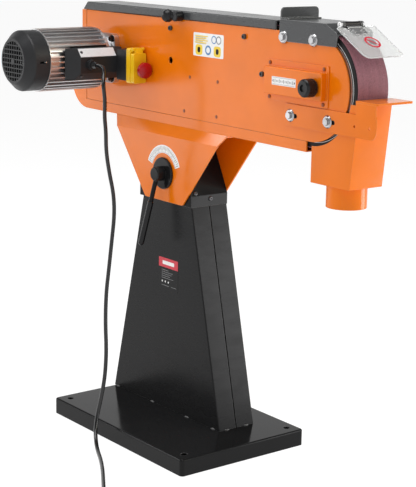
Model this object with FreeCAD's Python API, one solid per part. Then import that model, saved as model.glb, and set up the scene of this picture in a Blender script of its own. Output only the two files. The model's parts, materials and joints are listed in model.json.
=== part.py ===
"""Pedestal belt grinder: a 75 mm abrasive belt on a drive drum and a contact wheel, in a tilting arm.

Frame: origin on the floor under the middle of the base, +X towards the contact wheel, +Y towards the side
door (the motor hangs off the -Y side), +Z up. Millimetres.
"""
import FreeCAD, Part
import math
import os

from FreeCAD import Vector

os.makedirs("parts", exist_ok=True)

# ---------------------------------------------------------------- driving dimensions
BELT_WIDTH = 75.0
BELT_THICK = 1.2
BELT_GAP = 0.6            # slack between the belt and the wheels it runs on
DRUM_R = 79.5             # drive drum
WHEEL_R = 112.0           # contact wheel over its rubber, at the crown
WHEEL_CROWN = 0.5         # how much smaller the wheel is at its two edges
DRUM_X = -290.0
WHEEL_X = 406.0
AXIS_Z = 785.0            # height of both belt axes

MID_Y = 49.3              # middle plane of the arm and of the column
NEAR_Y = 7.5              # outer face of the near side plate
FAR_Y = 91.0              # outer face of the side door
SHEET = 3.0               # side plate and yoke sheet
THIN = 2.5                # shell, door and cover sheet

ARM_TOP = 884.5
ARM_FLOOR = 662.5
SEAM_Z = 683.5            # the seam between the near plate and the folded shell
ARM_REAR = -385.0
CHUTE_REAR = -428.0
STEP_X = 389.0            # front end of the arm's floor
NOSE_X = 499.7            # front of the plate's round end
NOSE_R = 100.0

BASE_X = 238.5            # half sizes of the base pan
BASE_Y = 161.5
BASE_H = 35.0
BASE_SHEET = 4.0
ANCHOR_X = 212.0
ANCHOR_Y = 136.0
ANCHOR_R = 7.0

COLUMN_TOP = 497.0
COLUMN_HALF_Y = 47.0
COLUMN_SEAM = 3.0
COLUMN_FOLD = 2.2         # outside radius of the column's bends
COLUMN_FOOT = (-241.0, 150.0)
COLUMN_NECK = (-133.0, 42.0)

PIVOT_X = -52.0
PIVOT_Z = 558.0
PIVOT_R = 10.0
CHEEK_OUT = 52.0          # outer face of a yoke cheek from the middle plane

LID_TOP = 903.0
LID_FRONT = 294.0
LID_HINGE_Y = 95.0
LID_HINGE_Z = 888.5
DOOR_TOP = 864.0
DOOR_HINGE_X = -374.0
DOOR_HINGE_Y = 94.8

MOTOR_R = 67.6            # over the fins
MOTOR_FRONT = -30.0       # Y where the front end shield starts
MOTOR_BACK = -176.0       # Y where the fan cover starts
FAN_END = -230.0
COVER_R = 65.0            # fan cover, a little smaller than the fins
SHAFT_R = 12.0
AXLE_R = 10.0

GLAND = Vector(-196.0, -93.0, 780.0)
CORD_R = 4.2
COIL_R = 46.0             # middle of the turns
COIL_TURNS = 3
RUN = 0.05                # running clearance on a radius
GAP = 0.4                 # clearance between moving sheet parts
NODES = {}
HEAD_HALF_X = 93.0
HEAD_HALF_Y = 47.8
HEAD_BAND = 24.0
HEAD_TOP = 618.0
DISC_R = 34.0
DISC_Y = MID_Y - CHEEK_OUT - 0.3
HUB_FRONT = DISC_Y - 5.3 - 20.0
LEVER_TIP = Vector(-70.0, -47.0, 409.0)
PLUG_TURN = 60.0          # how far short of full turns the last turn ends, in degrees
CARRIAGE_Z = (773.0, 797.0)
CARRIAGE_X = (330.0, 424.0)
TENSION_TRAVEL = 12.0
SPRING_TURNS = 9
REST_BOLTS = ((343.0, 727.0), (448.0, 727.0))
GUARD_BOLTS = ((316.0, 873.0), (401.0, 873.0))
OPEN_HOLE = (-46.0, 798.0)
SIDE_SCREWS = ((-46.0, 865.0), (198.0, 865.0), (255.0, 797.0))
RIVETS = ((22.0, 769.0), (115.0, 768.0), (4.0, 697.0), (113.0, 697.0))
LID_KNUCKLES = (-280.0, 200.0)
DOOR_KNUCKLES = (700.0, 810.0)
LATCH = (284.0, 838.0)
LID_KNOB = (-30.0, 892.0)
GUARD_NEAR = 4.5
GUARD_FAR = 93.5
FACET_TOP = (434.0, 906.0)
FACET_END = (466.0, 889.0)
SHIELD_SLOPE = 30.8          # degrees below the horizontal
SHIELD_X = 459.0
SHIELD_Z = 905.0
MOTOR_BOLT = 43.5
TRACK_FACE = -7.0
TRACK_FOOT = 5.5
TRACK_SCREWS = ((280.0, 822.5), (434.0, 822.5), (280.0, 757.0), (434.0, 757.0))
KNOB_X = 420.0
BOX_X = -196.0
BOX_NEAR = -119.0
BOX_SLANT = 38.0          # how much further the box reaches where it meets the motor
BOX_FAR = -5.6
BOX_Z = (748.0, 814.0)
SWITCH_Y = (-27.0, 5.5)
SWITCH_Z = (744.0, 812.0)
BUTTON_Y = -11.0
STOP_BUTTON_Z = 764.0
START_BUTTON_Z = 790.0
MUSHROOM_Y = -11.0
MUSHROOM_Z = 771.0
FLAP_X = -138.6
FLAP_Z = 813.0
HOPPER_X = (404.0, 515.0)
HOPPER_LOW = 607.0
PORT_R = 39.0
PORT_LOW = 565.0
BRACKET_Y = (NEAR_Y - SHEET, NEAR_Y - 0.3)
TABLE_TOP = 774.0
COVER_SEAT = [(MOTOR_BACK - 5, COVER_R - 3.2), (MOTOR_BACK, COVER_R - 1.5)]


# ---------------------------------------------------------------- helpers
def box(x0, x1, y0, y1, z0, z1):
    return Part.makeBox(x1 - x0, y1 - y0, z1 - z0, Vector(x0, y0, z0))


def rod(p, q, r):
    """Cylinder of radius r from point p to point q."""
    start = Vector(*p)
    way = Vector(*q) - start
    return Part.makeCylinder(r, way.Length, start, way)


def ring(p, q, r_out, r_in):
    return rod(p, q, r_out).cut(rod(p, q, r_in))


def face(corners, place):
    """Flat face whose corners (u, v, radius) are rounded; place maps u, v to a point."""
    count = len(corners)
    cuts = []
    for i, (u, v, r) in enumerate(corners):
        here = Vector(u, v, 0)
        back = Vector(*corners[i - 1][:2], 0) - here
        ahead = Vector(*corners[(i + 1) % count][:2], 0) - here
        if r <= 0:
            cuts.append((here, here, here))
            continue
        half = back.getAngle(ahead) / 2
        back.normalize()
        ahead.normalize()
        reach = r / math.tan(half)
        bisector = back + ahead
        bisector.normalize()
        middle = here + bisector * (r / math.sin(half) - r)
        cuts.append((here + back * reach, middle, here + ahead * reach))
    edges = []
    for i, (start, middle, end) in enumerate(cuts):
        if (start - end).Length > 1e-6:
            edges.append(Part.Arc(*[place(p.x, p.y) for p in (start, middle, end)]).toShape())
        onward = cuts[(i + 1) % count][0]
        if (onward - end).Length > 1e-6:
            edges.append(Part.makeLine(place(end.x, end.y), place(onward.x, onward.y)))
    return Part.Face(Part.Wire(edges))


def slab_xz(corners, y0, y1):
    return face(corners, lambda u, v: Vector(u, y0, v)).extrude(Vector(0, y1 - y0, 0))


def slab_yz(corners, x0, x1):
    return face(corners, lambda u, v: Vector(x0, u, v)).extrude(Vector(x1 - x0, 0, 0))


def slab_xy(corners, z0, z1):
    return face(corners, lambda u, v: Vector(u, v, z0)).extrude(Vector(0, 0, z1 - z0))


def rect(u0, u1, v0, v1, r=0.0):
    return [(u0, v0, r), (u1, v0, r), (u1, v1, r), (u0, v1, r)]


def slot_xz(x0, x1, z, r, y0, y1):
    """Slot along X whose end-to-end length is x1 - x0."""
    body = box(x0 + r, x1 - r, y0, y1, z - r, z + r)
    for x in (x0 + r, x1 - r):
        body = body.fuse(rod((x, y0, z), (x, y1, z), r))
    return body


def turned(profile, x, z):
    """Solid of revolution about the line along Y through x, z; profile is a list of (y, radius)."""
    points = [Vector(x, profile[0][0], z)]
    points += [Vector(x, y, z + r) for y, r in profile]
    points += [Vector(x, profile[-1][0], z)]
    clean = [points[0]]
    for p in points[1:]:
        if (p - clean[-1]).Length > 1e-6:
            clean.append(p)
    wire = Part.makePolygon(clean + [clean[0]])
    return Part.Face(wire).revolve(Vector(x, 0, z), Vector(0, 1, 0), 360)


def hexagon(p, way, across, thick):
    """Hexagonal prism on point p along the unit vector way."""
    side = Vector(0, 0, 1) if abs(way.z) < 0.5 else Vector(1, 0, 0)
    other = way.cross(side)
    r = across / 2 / math.cos(math.pi / 6)
    ends = []
    for i in range(7):
        angle = math.pi / 3 * i
        ends.append(p + side * (r * math.cos(angle)) + other * (r * math.sin(angle)))
    return Part.Face(Part.makePolygon(ends)).extrude(way * thick)


def join(first, *others):
    return first.fuse(list(others)).removeSplitter()


def group(solids):
    return Part.makeCompound(solids)


def keep(name, shape):
    """Write one node and check it."""
    for solid in shape.Solids:
        if not solid.isValid() or solid.Volume <= 0:
            print("BAD SOLID", name)
    if not shape.Solids:
        print("EMPTY", name)
    shape.exportStep("parts/" + name + ".step")
    NODES[name] = shape


# ---------------------------------------------------------------- stand
def make_base():
    """Folded pan, open below, with a sleeve under each anchor hole that reaches the floor."""
    outer = slab_xy(rect(-BASE_X, BASE_X, -BASE_Y, BASE_Y, 8), 0, BASE_H)
    rim = [e for e in outer.Edges if e.BoundBox.ZMin > BASE_H - 0.1]
    outer = outer.makeFillet(4.0, rim)
    t = BASE_SHEET
    inner = slab_xy(rect(-BASE_X + t, BASE_X - t, -BASE_Y + t, BASE_Y - t, 5), -1, BASE_H - t)
    pan = outer.cut(inner)
    for sx in (-1, 1):
        for sy in (-1, 1):
            foot = (sx * ANCHOR_X, sy * ANCHOR_Y, 0)
            top = (sx * ANCHOR_X, sy * ANCHOR_Y, BASE_H)
            pan = pan.fuse(rod(foot, (foot[0], foot[1], BASE_H - 1), ANCHOR_R + 4))
            pan = pan.cut(rod((foot[0], foot[1], -1), (top[0], top[1], BASE_H + 1), ANCHOR_R))
    keep("base_pan", pan)


def column_outline(inset):
    """Side view of the column, moved in by inset on its two sloping edges."""
    return [
        (COLUMN_FOOT[0] + inset, BASE_H, 0),
        (COLUMN_FOOT[1] - inset, BASE_H, 0),
        (COLUMN_NECK[1] - inset, COLUMN_TOP, 0),
        (COLUMN_NECK[0] + inset, COLUMN_TOP, 0),
    ]


def make_column():
    """Two bent sheets, each a wide face with half of both narrow faces; a seam gap parts them."""
    low, high = MID_Y - COLUMN_HALF_Y, MID_Y + COLUMN_HALF_Y
    outer = slab_xz(column_outline(0), low, high)
    corners = [e for e in outer.Edges if abs(e.BoundBox.YLength) < 0.1 and e.BoundBox.ZLength > 300]
    outer = outer.makeFillet(COLUMN_FOLD, corners)
    hollow = slab_xz(column_outline(SHEET), low + SHEET, high - SHEET)
    tube = outer.cut(hollow)
    half_gap = COLUMN_SEAM / 2
    near = tube.common(box(-300, 300, low - 1, MID_Y - half_gap, 0, 600))
    far = tube.common(box(-300, 300, MID_Y + half_gap, high + 1, 0, 600))
    keep("column_near_half", near)
    keep("column_far_half", far)


def head_outline(inset):
    x = PIVOT_X + 1
    return [
        (x - HEAD_HALF_X + inset, COLUMN_TOP, 0),
        (x + HEAD_HALF_X - inset, COLUMN_TOP, 0),
        (x + HEAD_HALF_X - inset, COLUMN_TOP + HEAD_BAND, 4),
        (x + 44 - inset / 2, HEAD_TOP - inset, 14),
        (x - 44 + inset / 2, HEAD_TOP - inset, 14),
        (x - HEAD_HALF_X + inset, COLUMN_TOP + HEAD_BAND, 4),
    ]


def make_head():
    """Cap that carries the tilt bolt, open below, with a bore boss through it."""
    low, high = MID_Y - HEAD_HALF_Y, MID_Y + HEAD_HALF_Y
    cap = slab_xz(head_outline(0), low, high)
    hollow = slab_xz(head_outline(5.0), low + 4, high - 4)
    hollow = hollow.fuse(box(PIVOT_X - 86, PIVOT_X + 88, low + 4, high - 4, COLUMN_TOP - 1, COLUMN_TOP + 8))
    cap = cap.cut(hollow)
    flange = box(PIVOT_X - 84, PIVOT_X + 86, low + 3, high - 3, COLUMN_TOP, COLUMN_TOP + 4)
    flange = flange.cut(box(PIVOT_X - 60, PIVOT_X + 62, low + 22, high - 22, COLUMN_TOP - 1, COLUMN_TOP + 5))
    boss = rod((PIVOT_X, low + 2, PIVOT_Z), (PIVOT_X, high - 2, PIVOT_Z), 17)
    cap = join(cap, flange, boss)
    cap = cap.cut(rod((PIVOT_X, low - 1, PIVOT_Z), (PIVOT_X, high + 1, PIVOT_Z), PIVOT_R + RUN))
    keep("column_head", cap)


def make_tilt_bolt():
    near_end = HUB_FRONT + 6
    far_face = MID_Y + CHEEK_OUT + 0.3
    bolt = rod((PIVOT_X, near_end, PIVOT_Z), (PIVOT_X, far_face + 20, PIVOT_Z), PIVOT_R)
    keep("tilt_bolt", bolt)
    disc = turned([(DISC_Y - 5, DISC_R - 1.5), (DISC_Y - 3.5, DISC_R), (DISC_Y, DISC_R)], PIVOT_X, PIVOT_Z)
    disc = disc.cut(rod((PIVOT_X, -30, PIVOT_Z), (PIVOT_X, 30, PIVOT_Z), PIVOT_R))
    keep("clamp_disc", disc)
    washer = ring((PIVOT_X, far_face, PIVOT_Z), (PIVOT_X, far_face + 3, PIVOT_Z), 20, PIVOT_R)
    nut = hexagon(Vector(PIVOT_X, far_face + 3, PIVOT_Z), Vector(0, 1, 0), 30, 14)
    nut = nut.cut(rod((PIVOT_X, far_face, PIVOT_Z), (PIVOT_X, far_face + 30, PIVOT_Z), PIVOT_R))
    keep("tilt_nut", group([washer, nut]))


def make_clamp_lever():
    """Threaded hub on the tilt bolt with a rod that leans outwards as it hangs."""
    back = DISC_Y - 5.3
    hub = turned([(HUB_FRONT, 13), (HUB_FRONT + 2, 15), (back - 4, 16), (back, 16)], PIVOT_X, PIVOT_Z)
    hub = hub.cut(rod((PIVOT_X, HUB_FRONT + 5, PIVOT_Z), (PIVOT_X, 0, PIVOT_Z), PIVOT_R + RUN))
    root = Vector(PIVOT_X, HUB_FRONT + 9, PIVOT_Z)
    way = LEVER_TIP - root
    way.normalize()
    start = root + way * 11
    grip_start = root + way * 62
    shaft = Part.makeCylinder(5.0, (grip_start - start).Length + 6, start, way)
    bore = rod((PIVOT_X, HUB_FRONT + 5, PIVOT_Z), (PIVOT_X, 0, PIVOT_Z), PIVOT_R + RUN)
    keep("clamp_hub", join(hub, shaft).cut(bore))
    length = (LEVER_TIP - grip_start).Length
    outline = [(5, 0), (6.5, 0), (6.5, length), (5.8, length + 3), (3.8, length + 5.4), (2, length + 6.3),
               (0, length + 6.5), (0, 6), (5, 6), (5, 0)]
    profile = Part.Face(Part.makePolygon([Vector(r, 0, z) for r, z in outline]))
    grip = profile.revolve(Vector(0, 0, 0), Vector(0, 0, 1), 360)
    grip.Placement = FreeCAD.Placement(grip_start, FreeCAD.Rotation(Vector(0, 0, 1), way))
    keep("lever_grip", grip)


# ---------------------------------------------------------------- cord
def hand_route():
    """Points of the lead from the gland nose to the coil, chosen by hand, in millimetres."""
    return [
        (-174, -93, 780), (-158.5, -93, 780), (-136.5, -99, 776), (-118.5, -113, 764),
        (-106.5, -121, 743.5), (-101.5, -120, 714.5), (-103, -120.5, 681.5), (-101, -118, 650.5),
        (-103, -116, 607), (-104, -107, 560),
        (-99, -99, 515), (-93, -101, 469), (-86, -112, 419), (-76, -126, 360), (-67, -139, 310),
        (-56, -148, 250), (-47, -151, 190), (-39, -160, 134), (-35, -173, 90), (-30, -186, 56),
        (-18, -198, 30), (3, -210, 12), (31, -224, 4.3), (76, -246, 4.3), (128, -276, 4.3),
        (184, -312, 4.3), (238, -346, 4.3), (286, -373, 4.3), (333, -404, 4.3),
    ]


def tube_along(points, r):
    """Straight runs joined by tangent arcs, each as large as its two runs allow."""
    spots = [Vector(*p) for p in points]
    edges = []
    radii = []
    cursor = spots[0]
    for before, here, after in zip(spots, spots[1:], spots[2:]):
        back = before - here
        ahead = after - here
        turn = math.pi - back.getAngle(ahead)
        reach = 0.45 * min(back.Length, ahead.Length)
        radii.append(reach / math.tan(turn / 2))
        back.normalize()
        ahead.normalize()
        start = here + back * reach
        end = here + ahead * reach
        bisector = back + ahead
        bisector.normalize()
        half = (math.pi - turn) / 2
        middle = here + bisector * (radii[-1] / math.sin(half) - radii[-1])
        edges.append(Part.LineSegment(cursor, start).toShape())
        edges.append(Part.Arc(start, middle, end).toShape())
        cursor = end
    edges.append(Part.LineSegment(cursor, spots[-1]).toShape())
    path = Part.Wire(edges)
    way = spots[1] - spots[0]
    section = Part.Wire(Part.makeCircle(r, spots[0], way))
    tube = path.makePipeShell([section], True, False)
    expected = math.pi * r * r * path.Length
    print("cord length %.0f, volume ratio %.4f" % (path.Length, tube.Volume / expected))
    print("cord radii", [round(v) for v in radii])
    return tube


def make_cord():
    route = hand_route()
    tube = tube_along(route, CORD_R)
    keep("cord_lead", tube)
    end = Vector(*route[-1])
    heading = end - Vector(*route[-2])
    heading.z = 0
    heading.normalize()
    left = Vector(-heading.y, heading.x, 0)
    centre = end + left * COIL_R
    centre.z = 0
    height = 2 * CORD_R * COIL_TURNS
    low = Vector(centre.x, centre.y, 0.1)
    outer = Part.makeCylinder(COIL_R + CORD_R, height, low)
    inner = Part.makeCylinder(COIL_R - CORD_R, height, low)
    keep("cord_coil", outer.cut(inner))
    print("coil centre", centre, "heading", heading)
    make_plug(centre, heading, height)


def make_plug(centre, heading, height):
    """Plug on the floor beside the coil, where the top turn leaves it."""
    turn = math.radians(-PLUG_TURN)
    way = Vector(
        heading.x * math.cos(turn) - heading.y * math.sin(turn),
        heading.x * math.sin(turn) + heading.y * math.cos(turn),
        0,
    )
    right = Vector(way.y, -way.x, 0)
    z = height - CORD_R
    tangent = Vector(centre.x, centre.y, z) + right * COIL_R
    start = tangent + way * 21
    boot = Part.makeCone(6.0, 9.5, 34, start, way)
    body_start = start + way * 34
    body = Part.makeCylinder(18.0, 30, body_start, way)
    neck = Part.makeCone(11, 18, 8, body_start - way * 8, way)
    body = join(body, neck)
    body = body.common(box(-600, 600, -900, 100, 0.1, 60))
    keep("plug_body", join(body, boot))
    pins = []
    for side in (-1, 1):
        foot = body_start + way * 30 + right * (9.5 * side)
        pins.append(Part.makeCylinder(2.4, 19, foot, way))
    keep("plug_pins", group(pins))
    print("plug tangent", tangent, "way", way)


# ---------------------------------------------------------------- arm structure
def make_yoke():
    """Saddle welded under the arm: two cheeks, each with a flange that slopes in to the arm's floor."""
    inner = CHEEK_OUT - SHEET - 0.4
    outline = [
        (PIVOT_X - 67, 498, 10),
        (PIVOT_X + 68, 498, 10),
        (PIVOT_X + 182, 639, 2),
        (PIVOT_X - 177, 639, 2),
    ]
    solids = []
    for side in (-1, 1):
        y0, y1 = sorted((MID_Y + side * inner, MID_Y + side * CHEEK_OUT))
        cheek = slab_xz(outline, y0, y1)
        out_edge = MID_Y + side * CHEEK_OUT
        top_edge = MID_Y + side * (MID_Y - NEAR_Y)
        flange_shape = [
            (out_edge, 637, 0),
            (out_edge, 639, 0),
            (top_edge, ARM_FLOOR, 0),
            (top_edge - side * 4.5, ARM_FLOOR, 0),
            (out_edge - side * (SHEET + 0.4), 640, 0),
            (out_edge - side * (SHEET + 0.4), 637, 0),
        ]
        wedge = [
            (PIVOT_X - 177, 630, 0),
            (PIVOT_X + 182, 630, 0),
            (PIVOT_X + 182, 639, 0),
            (PIVOT_X + 202, ARM_FLOOR, 0),
            (PIVOT_X - 193, ARM_FLOOR, 0),
            (PIVOT_X - 177, 639, 0),
        ]
        trim = slab_xz(wedge, -20, 120)
        flange = slab_yz(flange_shape, PIVOT_X - 195, PIVOT_X + 204).common(trim)
        solids += [cheek, flange]
    saddle = box(PIVOT_X - 193, PIVOT_X + 202, NEAR_Y, MID_Y + (MID_Y - NEAR_Y), ARM_FLOOR - 4, ARM_FLOOR)
    yoke = join(saddle, *solids)
    yoke = yoke.cut(rod((PIVOT_X, -20, PIVOT_Z), (PIVOT_X, 120, PIVOT_Z), PIVOT_R + 0.06))
    keep("yoke", yoke)


def nose_outline(rear, low, top):
    """Side view of a long plate whose front end is round."""
    return [(rear, low, 1), (NOSE_X, low, NOSE_R), (NOSE_X, top, NOSE_R), (rear, top, 1)]


def carriage_rails():
    """Two rails and a spring stop, welded to the plate under the tracking cover."""
    y0 = -2.6
    rails = []
    for z0, z1 in ((CARRIAGE_Z[0] - 6.4, CARRIAGE_Z[0] - GAP), (CARRIAGE_Z[1] + GAP, CARRIAGE_Z[1] + 6.4)):
        rails.append(box(290, 428, y0, NEAR_Y, z0, z1))
    rails.append(box(285, 289.6, y0, NEAR_Y, CARRIAGE_Z[0], CARRIAGE_Z[1]))
    return rails


def make_main_plate():
    """Near side plate: it carries the motor, the tension carriage and all the belt gear."""
    plate = slab_xz(nose_outline(-366.0, SEAM_Z, ARM_TOP), NEAR_Y, NEAR_Y + SHEET)
    plate = plate.cut(rod((DRUM_X, 0, AXIS_Z), (DRUM_X, 20, AXIS_Z), 26))
    slot = slot_xz(WHEEL_X - TENSION_TRAVEL - 15, WHEEL_X + 14, AXIS_Z, 13, 0, 20)
    plate = plate.cut(slot)
    plate = plate.cut(rod((OPEN_HOLE[0], 0, OPEN_HOLE[1]), (OPEN_HOLE[0], 20, OPEN_HOLE[1]), 7.2))
    for x, z in REST_BOLTS + GUARD_BOLTS:
        plate = plate.cut(rod((x, 0, z), (x, 20, z), 4.0))
    for x, z in SIDE_SCREWS:
        plate = plate.cut(rod((x, 0, z), (x, 20, z), 3.0))
    keep("near_side_plate", join(plate, *carriage_rails()))
    screws = []
    for x, z in SIDE_SCREWS:
        head = turned([(NEAR_Y - 5, 4.6), (NEAR_Y - 4.4, 5.2), (NEAR_Y, 5.2)], x, z)
        socket = hexagon(Vector(x, NEAR_Y - 5.1, z), Vector(0, 1, 0), 5.0, 3.0)
        screws.append(head.cut(socket).fuse(rod((x, NEAR_Y, z), (x, NEAR_Y + SHEET, z), 3.0)))
    for x, z in RIVETS:
        screws.append(turned([(NEAR_Y - 1.2, 2.0), (NEAR_Y - 0.6, 3.2), (NEAR_Y, 3.6)], x, z))
    for x, z in TRACK_SCREWS:
        screws.append(turned([(TRACK_FOOT - 2.2, 2.4), (TRACK_FOOT - 1.4, 3.6), (TRACK_FOOT, 3.6)], x, z))
    keep("panel_screws", group(screws))


def make_shell():
    """Folded shell: floor, back and rear chute, with a flange on both sides of the rear end."""
    corners = [
        (ARM_REAR, ARM_TOP, 0),
        (ARM_REAR, 778, 0),
        (CHUTE_REAR, 742, 6),
        (CHUTE_REAR, ARM_FLOOR, 64.5),
        (STEP_X, ARM_FLOOR, 0),
        (STEP_X, ARM_TOP, 0),
    ]
    y0, y1 = NEAR_Y, FAR_Y - THIN - GAP
    outer = slab_xz(corners, y0, y1)
    t = THIN
    inner_corners = [
        (ARM_REAR + t, ARM_TOP + 10, 0),
        (ARM_REAR + t, 779, 0),
        (CHUTE_REAR + t, 743, 4),
        (CHUTE_REAR + t, ARM_FLOOR + t, 62),
        (STEP_X + 10, ARM_FLOOR + t, 0),
        (STEP_X + 10, ARM_TOP + 10, 0),
    ]
    hollow = slab_xz(inner_corners, y0 + SHEET, y1 - THIN)
    shell = outer.cut(hollow)
    seam = 0.6
    groove = 2.0
    near_gap = box(-366 - groove, STEP_X + 1, y0 - 1, y0 + SHEET + 1, SEAM_Z - seam, ARM_TOP + 1)
    far_gap = box(DOOR_HINGE_X - 8, STEP_X + 1, y1 - THIN - 1, y1 + 1, ARM_FLOOR + 7, ARM_TOP + 1)
    top_gap = box(ARM_REAR + t, STEP_X + 1, y0 + SHEET, y1 - THIN, ARM_TOP - 5, ARM_TOP + 1)
    shell = shell.cut(near_gap).cut(far_gap).cut(top_gap)
    posts = []
    for z in DOOR_KNUCKLES:
        leaf = box(DOOR_HINGE_X - 11, DOOR_HINGE_X - 4.5, FAR_Y - THIN - GAP, FAR_Y + 1.5, z - 28, z)
        web = box(DOOR_HINGE_X - 11, DOOR_HINGE_X, FAR_Y + 0.2, FAR_Y + 1.7, z - 28, z)
        eye = rod((DOOR_HINGE_X, DOOR_HINGE_Y, z - 28), (DOOR_HINGE_X, DOOR_HINGE_Y, z), 3.8)
        bore = rod((DOOR_HINGE_X, DOOR_HINGE_Y, z - 30), (DOOR_HINGE_X, DOOR_HINGE_Y, z + 2), 2.0)
        posts.append(join(leaf, web, eye).cut(bore))
    keep("arm_shell", join(shell, *posts))


def make_far_rail():
    """Fixed strip along the far top edge: it carries the lid hinge and the guard's far side."""
    strip = slab_xz(nose_outline(ARM_REAR, SEAM_Z, ARM_TOP), FAR_Y - THIN, FAR_Y)
    strip = strip.common(box(-400, 520, 80, 100, DOOR_TOP + 1.5, 900))
    for x, z in GUARD_BOLTS:
        strip = strip.cut(rod((x, 80, z), (x, 100, z), 4.0))
    for x in LID_KNUCKLES:
        leaf = box(x - 17, x + 17, FAR_Y, FAR_Y + 1.5, 868, LID_HINGE_Z)
        eye = rod((x - 17, LID_HINGE_Y, LID_HINGE_Z), (x + 17, LID_HINGE_Y, LID_HINGE_Z), 4.0)
        web = box(x - 17, x + 17, FAR_Y, LID_HINGE_Y, LID_HINGE_Z - 4, LID_HINGE_Z - 1.5)
        bore = rod((x - 20, LID_HINGE_Y, LID_HINGE_Z), (x + 20, LID_HINGE_Y, LID_HINGE_Z), 2.0)
        strip = join(strip, leaf, web, eye).cut(bore)
    keep("far_rail", strip)


def make_side_door():
    """Door over the far side; its knuckles stand outside the back edge."""
    rear = DOOR_HINGE_X + 2.5
    plate = slab_xz(nose_outline(rear, SEAM_Z, ARM_TOP), FAR_Y - THIN, FAR_Y)
    plate = plate.common(box(-400, 520, 80, 100, 600, DOOR_TOP))
    skirt = box(rear, STEP_X - 4, FAR_Y - THIN, FAR_Y, ARM_FLOOR + 1, SEAM_Z + 4)
    door = join(plate, skirt)
    for z in DOOR_KNUCKLES:
        leaf = box(rear, rear + 26, FAR_Y, FAR_Y + 1.5, z + 0.3, z + 30)
        web = box(DOOR_HINGE_X + 2.8, rear + 4, FAR_Y, DOOR_HINGE_Y + 1, z + 0.3, z + 30)
        eye = rod((DOOR_HINGE_X, DOOR_HINGE_Y, z + 0.3), (DOOR_HINGE_X, DOOR_HINGE_Y, z + 30), 3.8)
        bore = rod((DOOR_HINGE_X, DOOR_HINGE_Y, z - 1), (DOOR_HINGE_X, DOOR_HINGE_Y, z + 40), 2.0 + RUN)
        door = join(door, leaf, web, eye).cut(bore)
    lx, lz = LATCH
    door = door.cut(rod((lx, 80, lz), (lx, 100, lz), 5.0 + RUN))
    keep("side_door", door)
    knob = turned(
        [(FAR_Y + GAP, 15), (FAR_Y + 8, 15), (FAR_Y + 14, 9), (FAR_Y + 24, 8), (FAR_Y + 26, 6)], lx, lz
    )
    wing = slab_xz(rect(lx - 20, lx + 20, lz - 4, lz + 4, 3.5), FAR_Y + 10, FAR_Y + 24)
    stem = rod((lx, FAR_Y - 8, lz), (lx, FAR_Y + 1, lz), 5.0)
    tongue = box(lx - 34, lx + 5, FAR_Y - 8, FAR_Y - 5, lz - 5, lz + 5)
    keep("door_latch", join(knob, wing, stem, tongue))


def make_hinge_pins():
    """Lid pin along X, two door pins with their fixed knuckles, and the shield's pin."""
    pins = []
    for x in LID_KNUCKLES:
        pins.append(rod((x - 17, LID_HINGE_Y, LID_HINGE_Z), (x + 52, LID_HINGE_Y, LID_HINGE_Z), 2.0))
    for z in DOOR_KNUCKLES:
        pins.append(rod((DOOR_HINGE_X, DOOR_HINGE_Y, z - 28), (DOOR_HINGE_X, DOOR_HINGE_Y, z + 30), 2.0))
    pins.append(rod((SHIELD_X, 17, SHIELD_Z), (SHIELD_X, 72, SHIELD_Z), 2.5))
    for y, side in ((20, -1), (69, 1)):
        nut = hexagon(Vector(SHIELD_X, y, SHIELD_Z), Vector(0, side, 0), 10, 4.5)
        pins.append(nut.cut(rod((SHIELD_X, 10, SHIELD_Z), (SHIELD_X, 80, SHIELD_Z), 2.5)))
    keep("hinge_pins", group(pins))


def make_platen():
    """Bar under the top run, parallel to it, with a graphite pad on its face."""
    slope = math.asin((WHEEL_R - DRUM_R) / (WHEEL_X - DRUM_X))
    run_r = DRUM_R + BELT_GAP
    origin = Vector(DRUM_X - run_r * math.sin(slope), 0, AXIS_Z + run_r * math.cos(slope))
    y0, y1 = MID_Y - 36, MID_Y + 36

    def sloped(x0, x1, y_low, y_high, z0, z1):
        piece = box(x0 - origin.x, x1 - origin.x, y_low, y_high, z0, z1)
        piece.rotate(Vector(0, 0, 0), Vector(0, 1, 0), -math.degrees(slope))
        piece.translate(Vector(origin.x, 0, origin.z))
        return piece

    keep("platen_pad", sloped(-130, 262, y0, y1, -2.3, -0.3))
    bar = sloped(-136, 268, y0, y1, -8.3, -2.3)
    ribs = []
    for x in (-120, 60, 240):
        ribs.append(sloped(x, x + 5, NEAR_Y + SHEET, y1, -46, -8.3))
    wall = sloped(-130, 262, NEAR_Y + SHEET, NEAR_Y + SHEET + 4, -46, -8.3)
    wall = wall.common(box(-400, 400, NEAR_Y + SHEET, 100, 700, ARM_TOP))
    keep("platen_bar", join(bar, wall, *ribs).common(box(-400, 400, NEAR_Y + SHEET, 100, 700, 900)))


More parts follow.
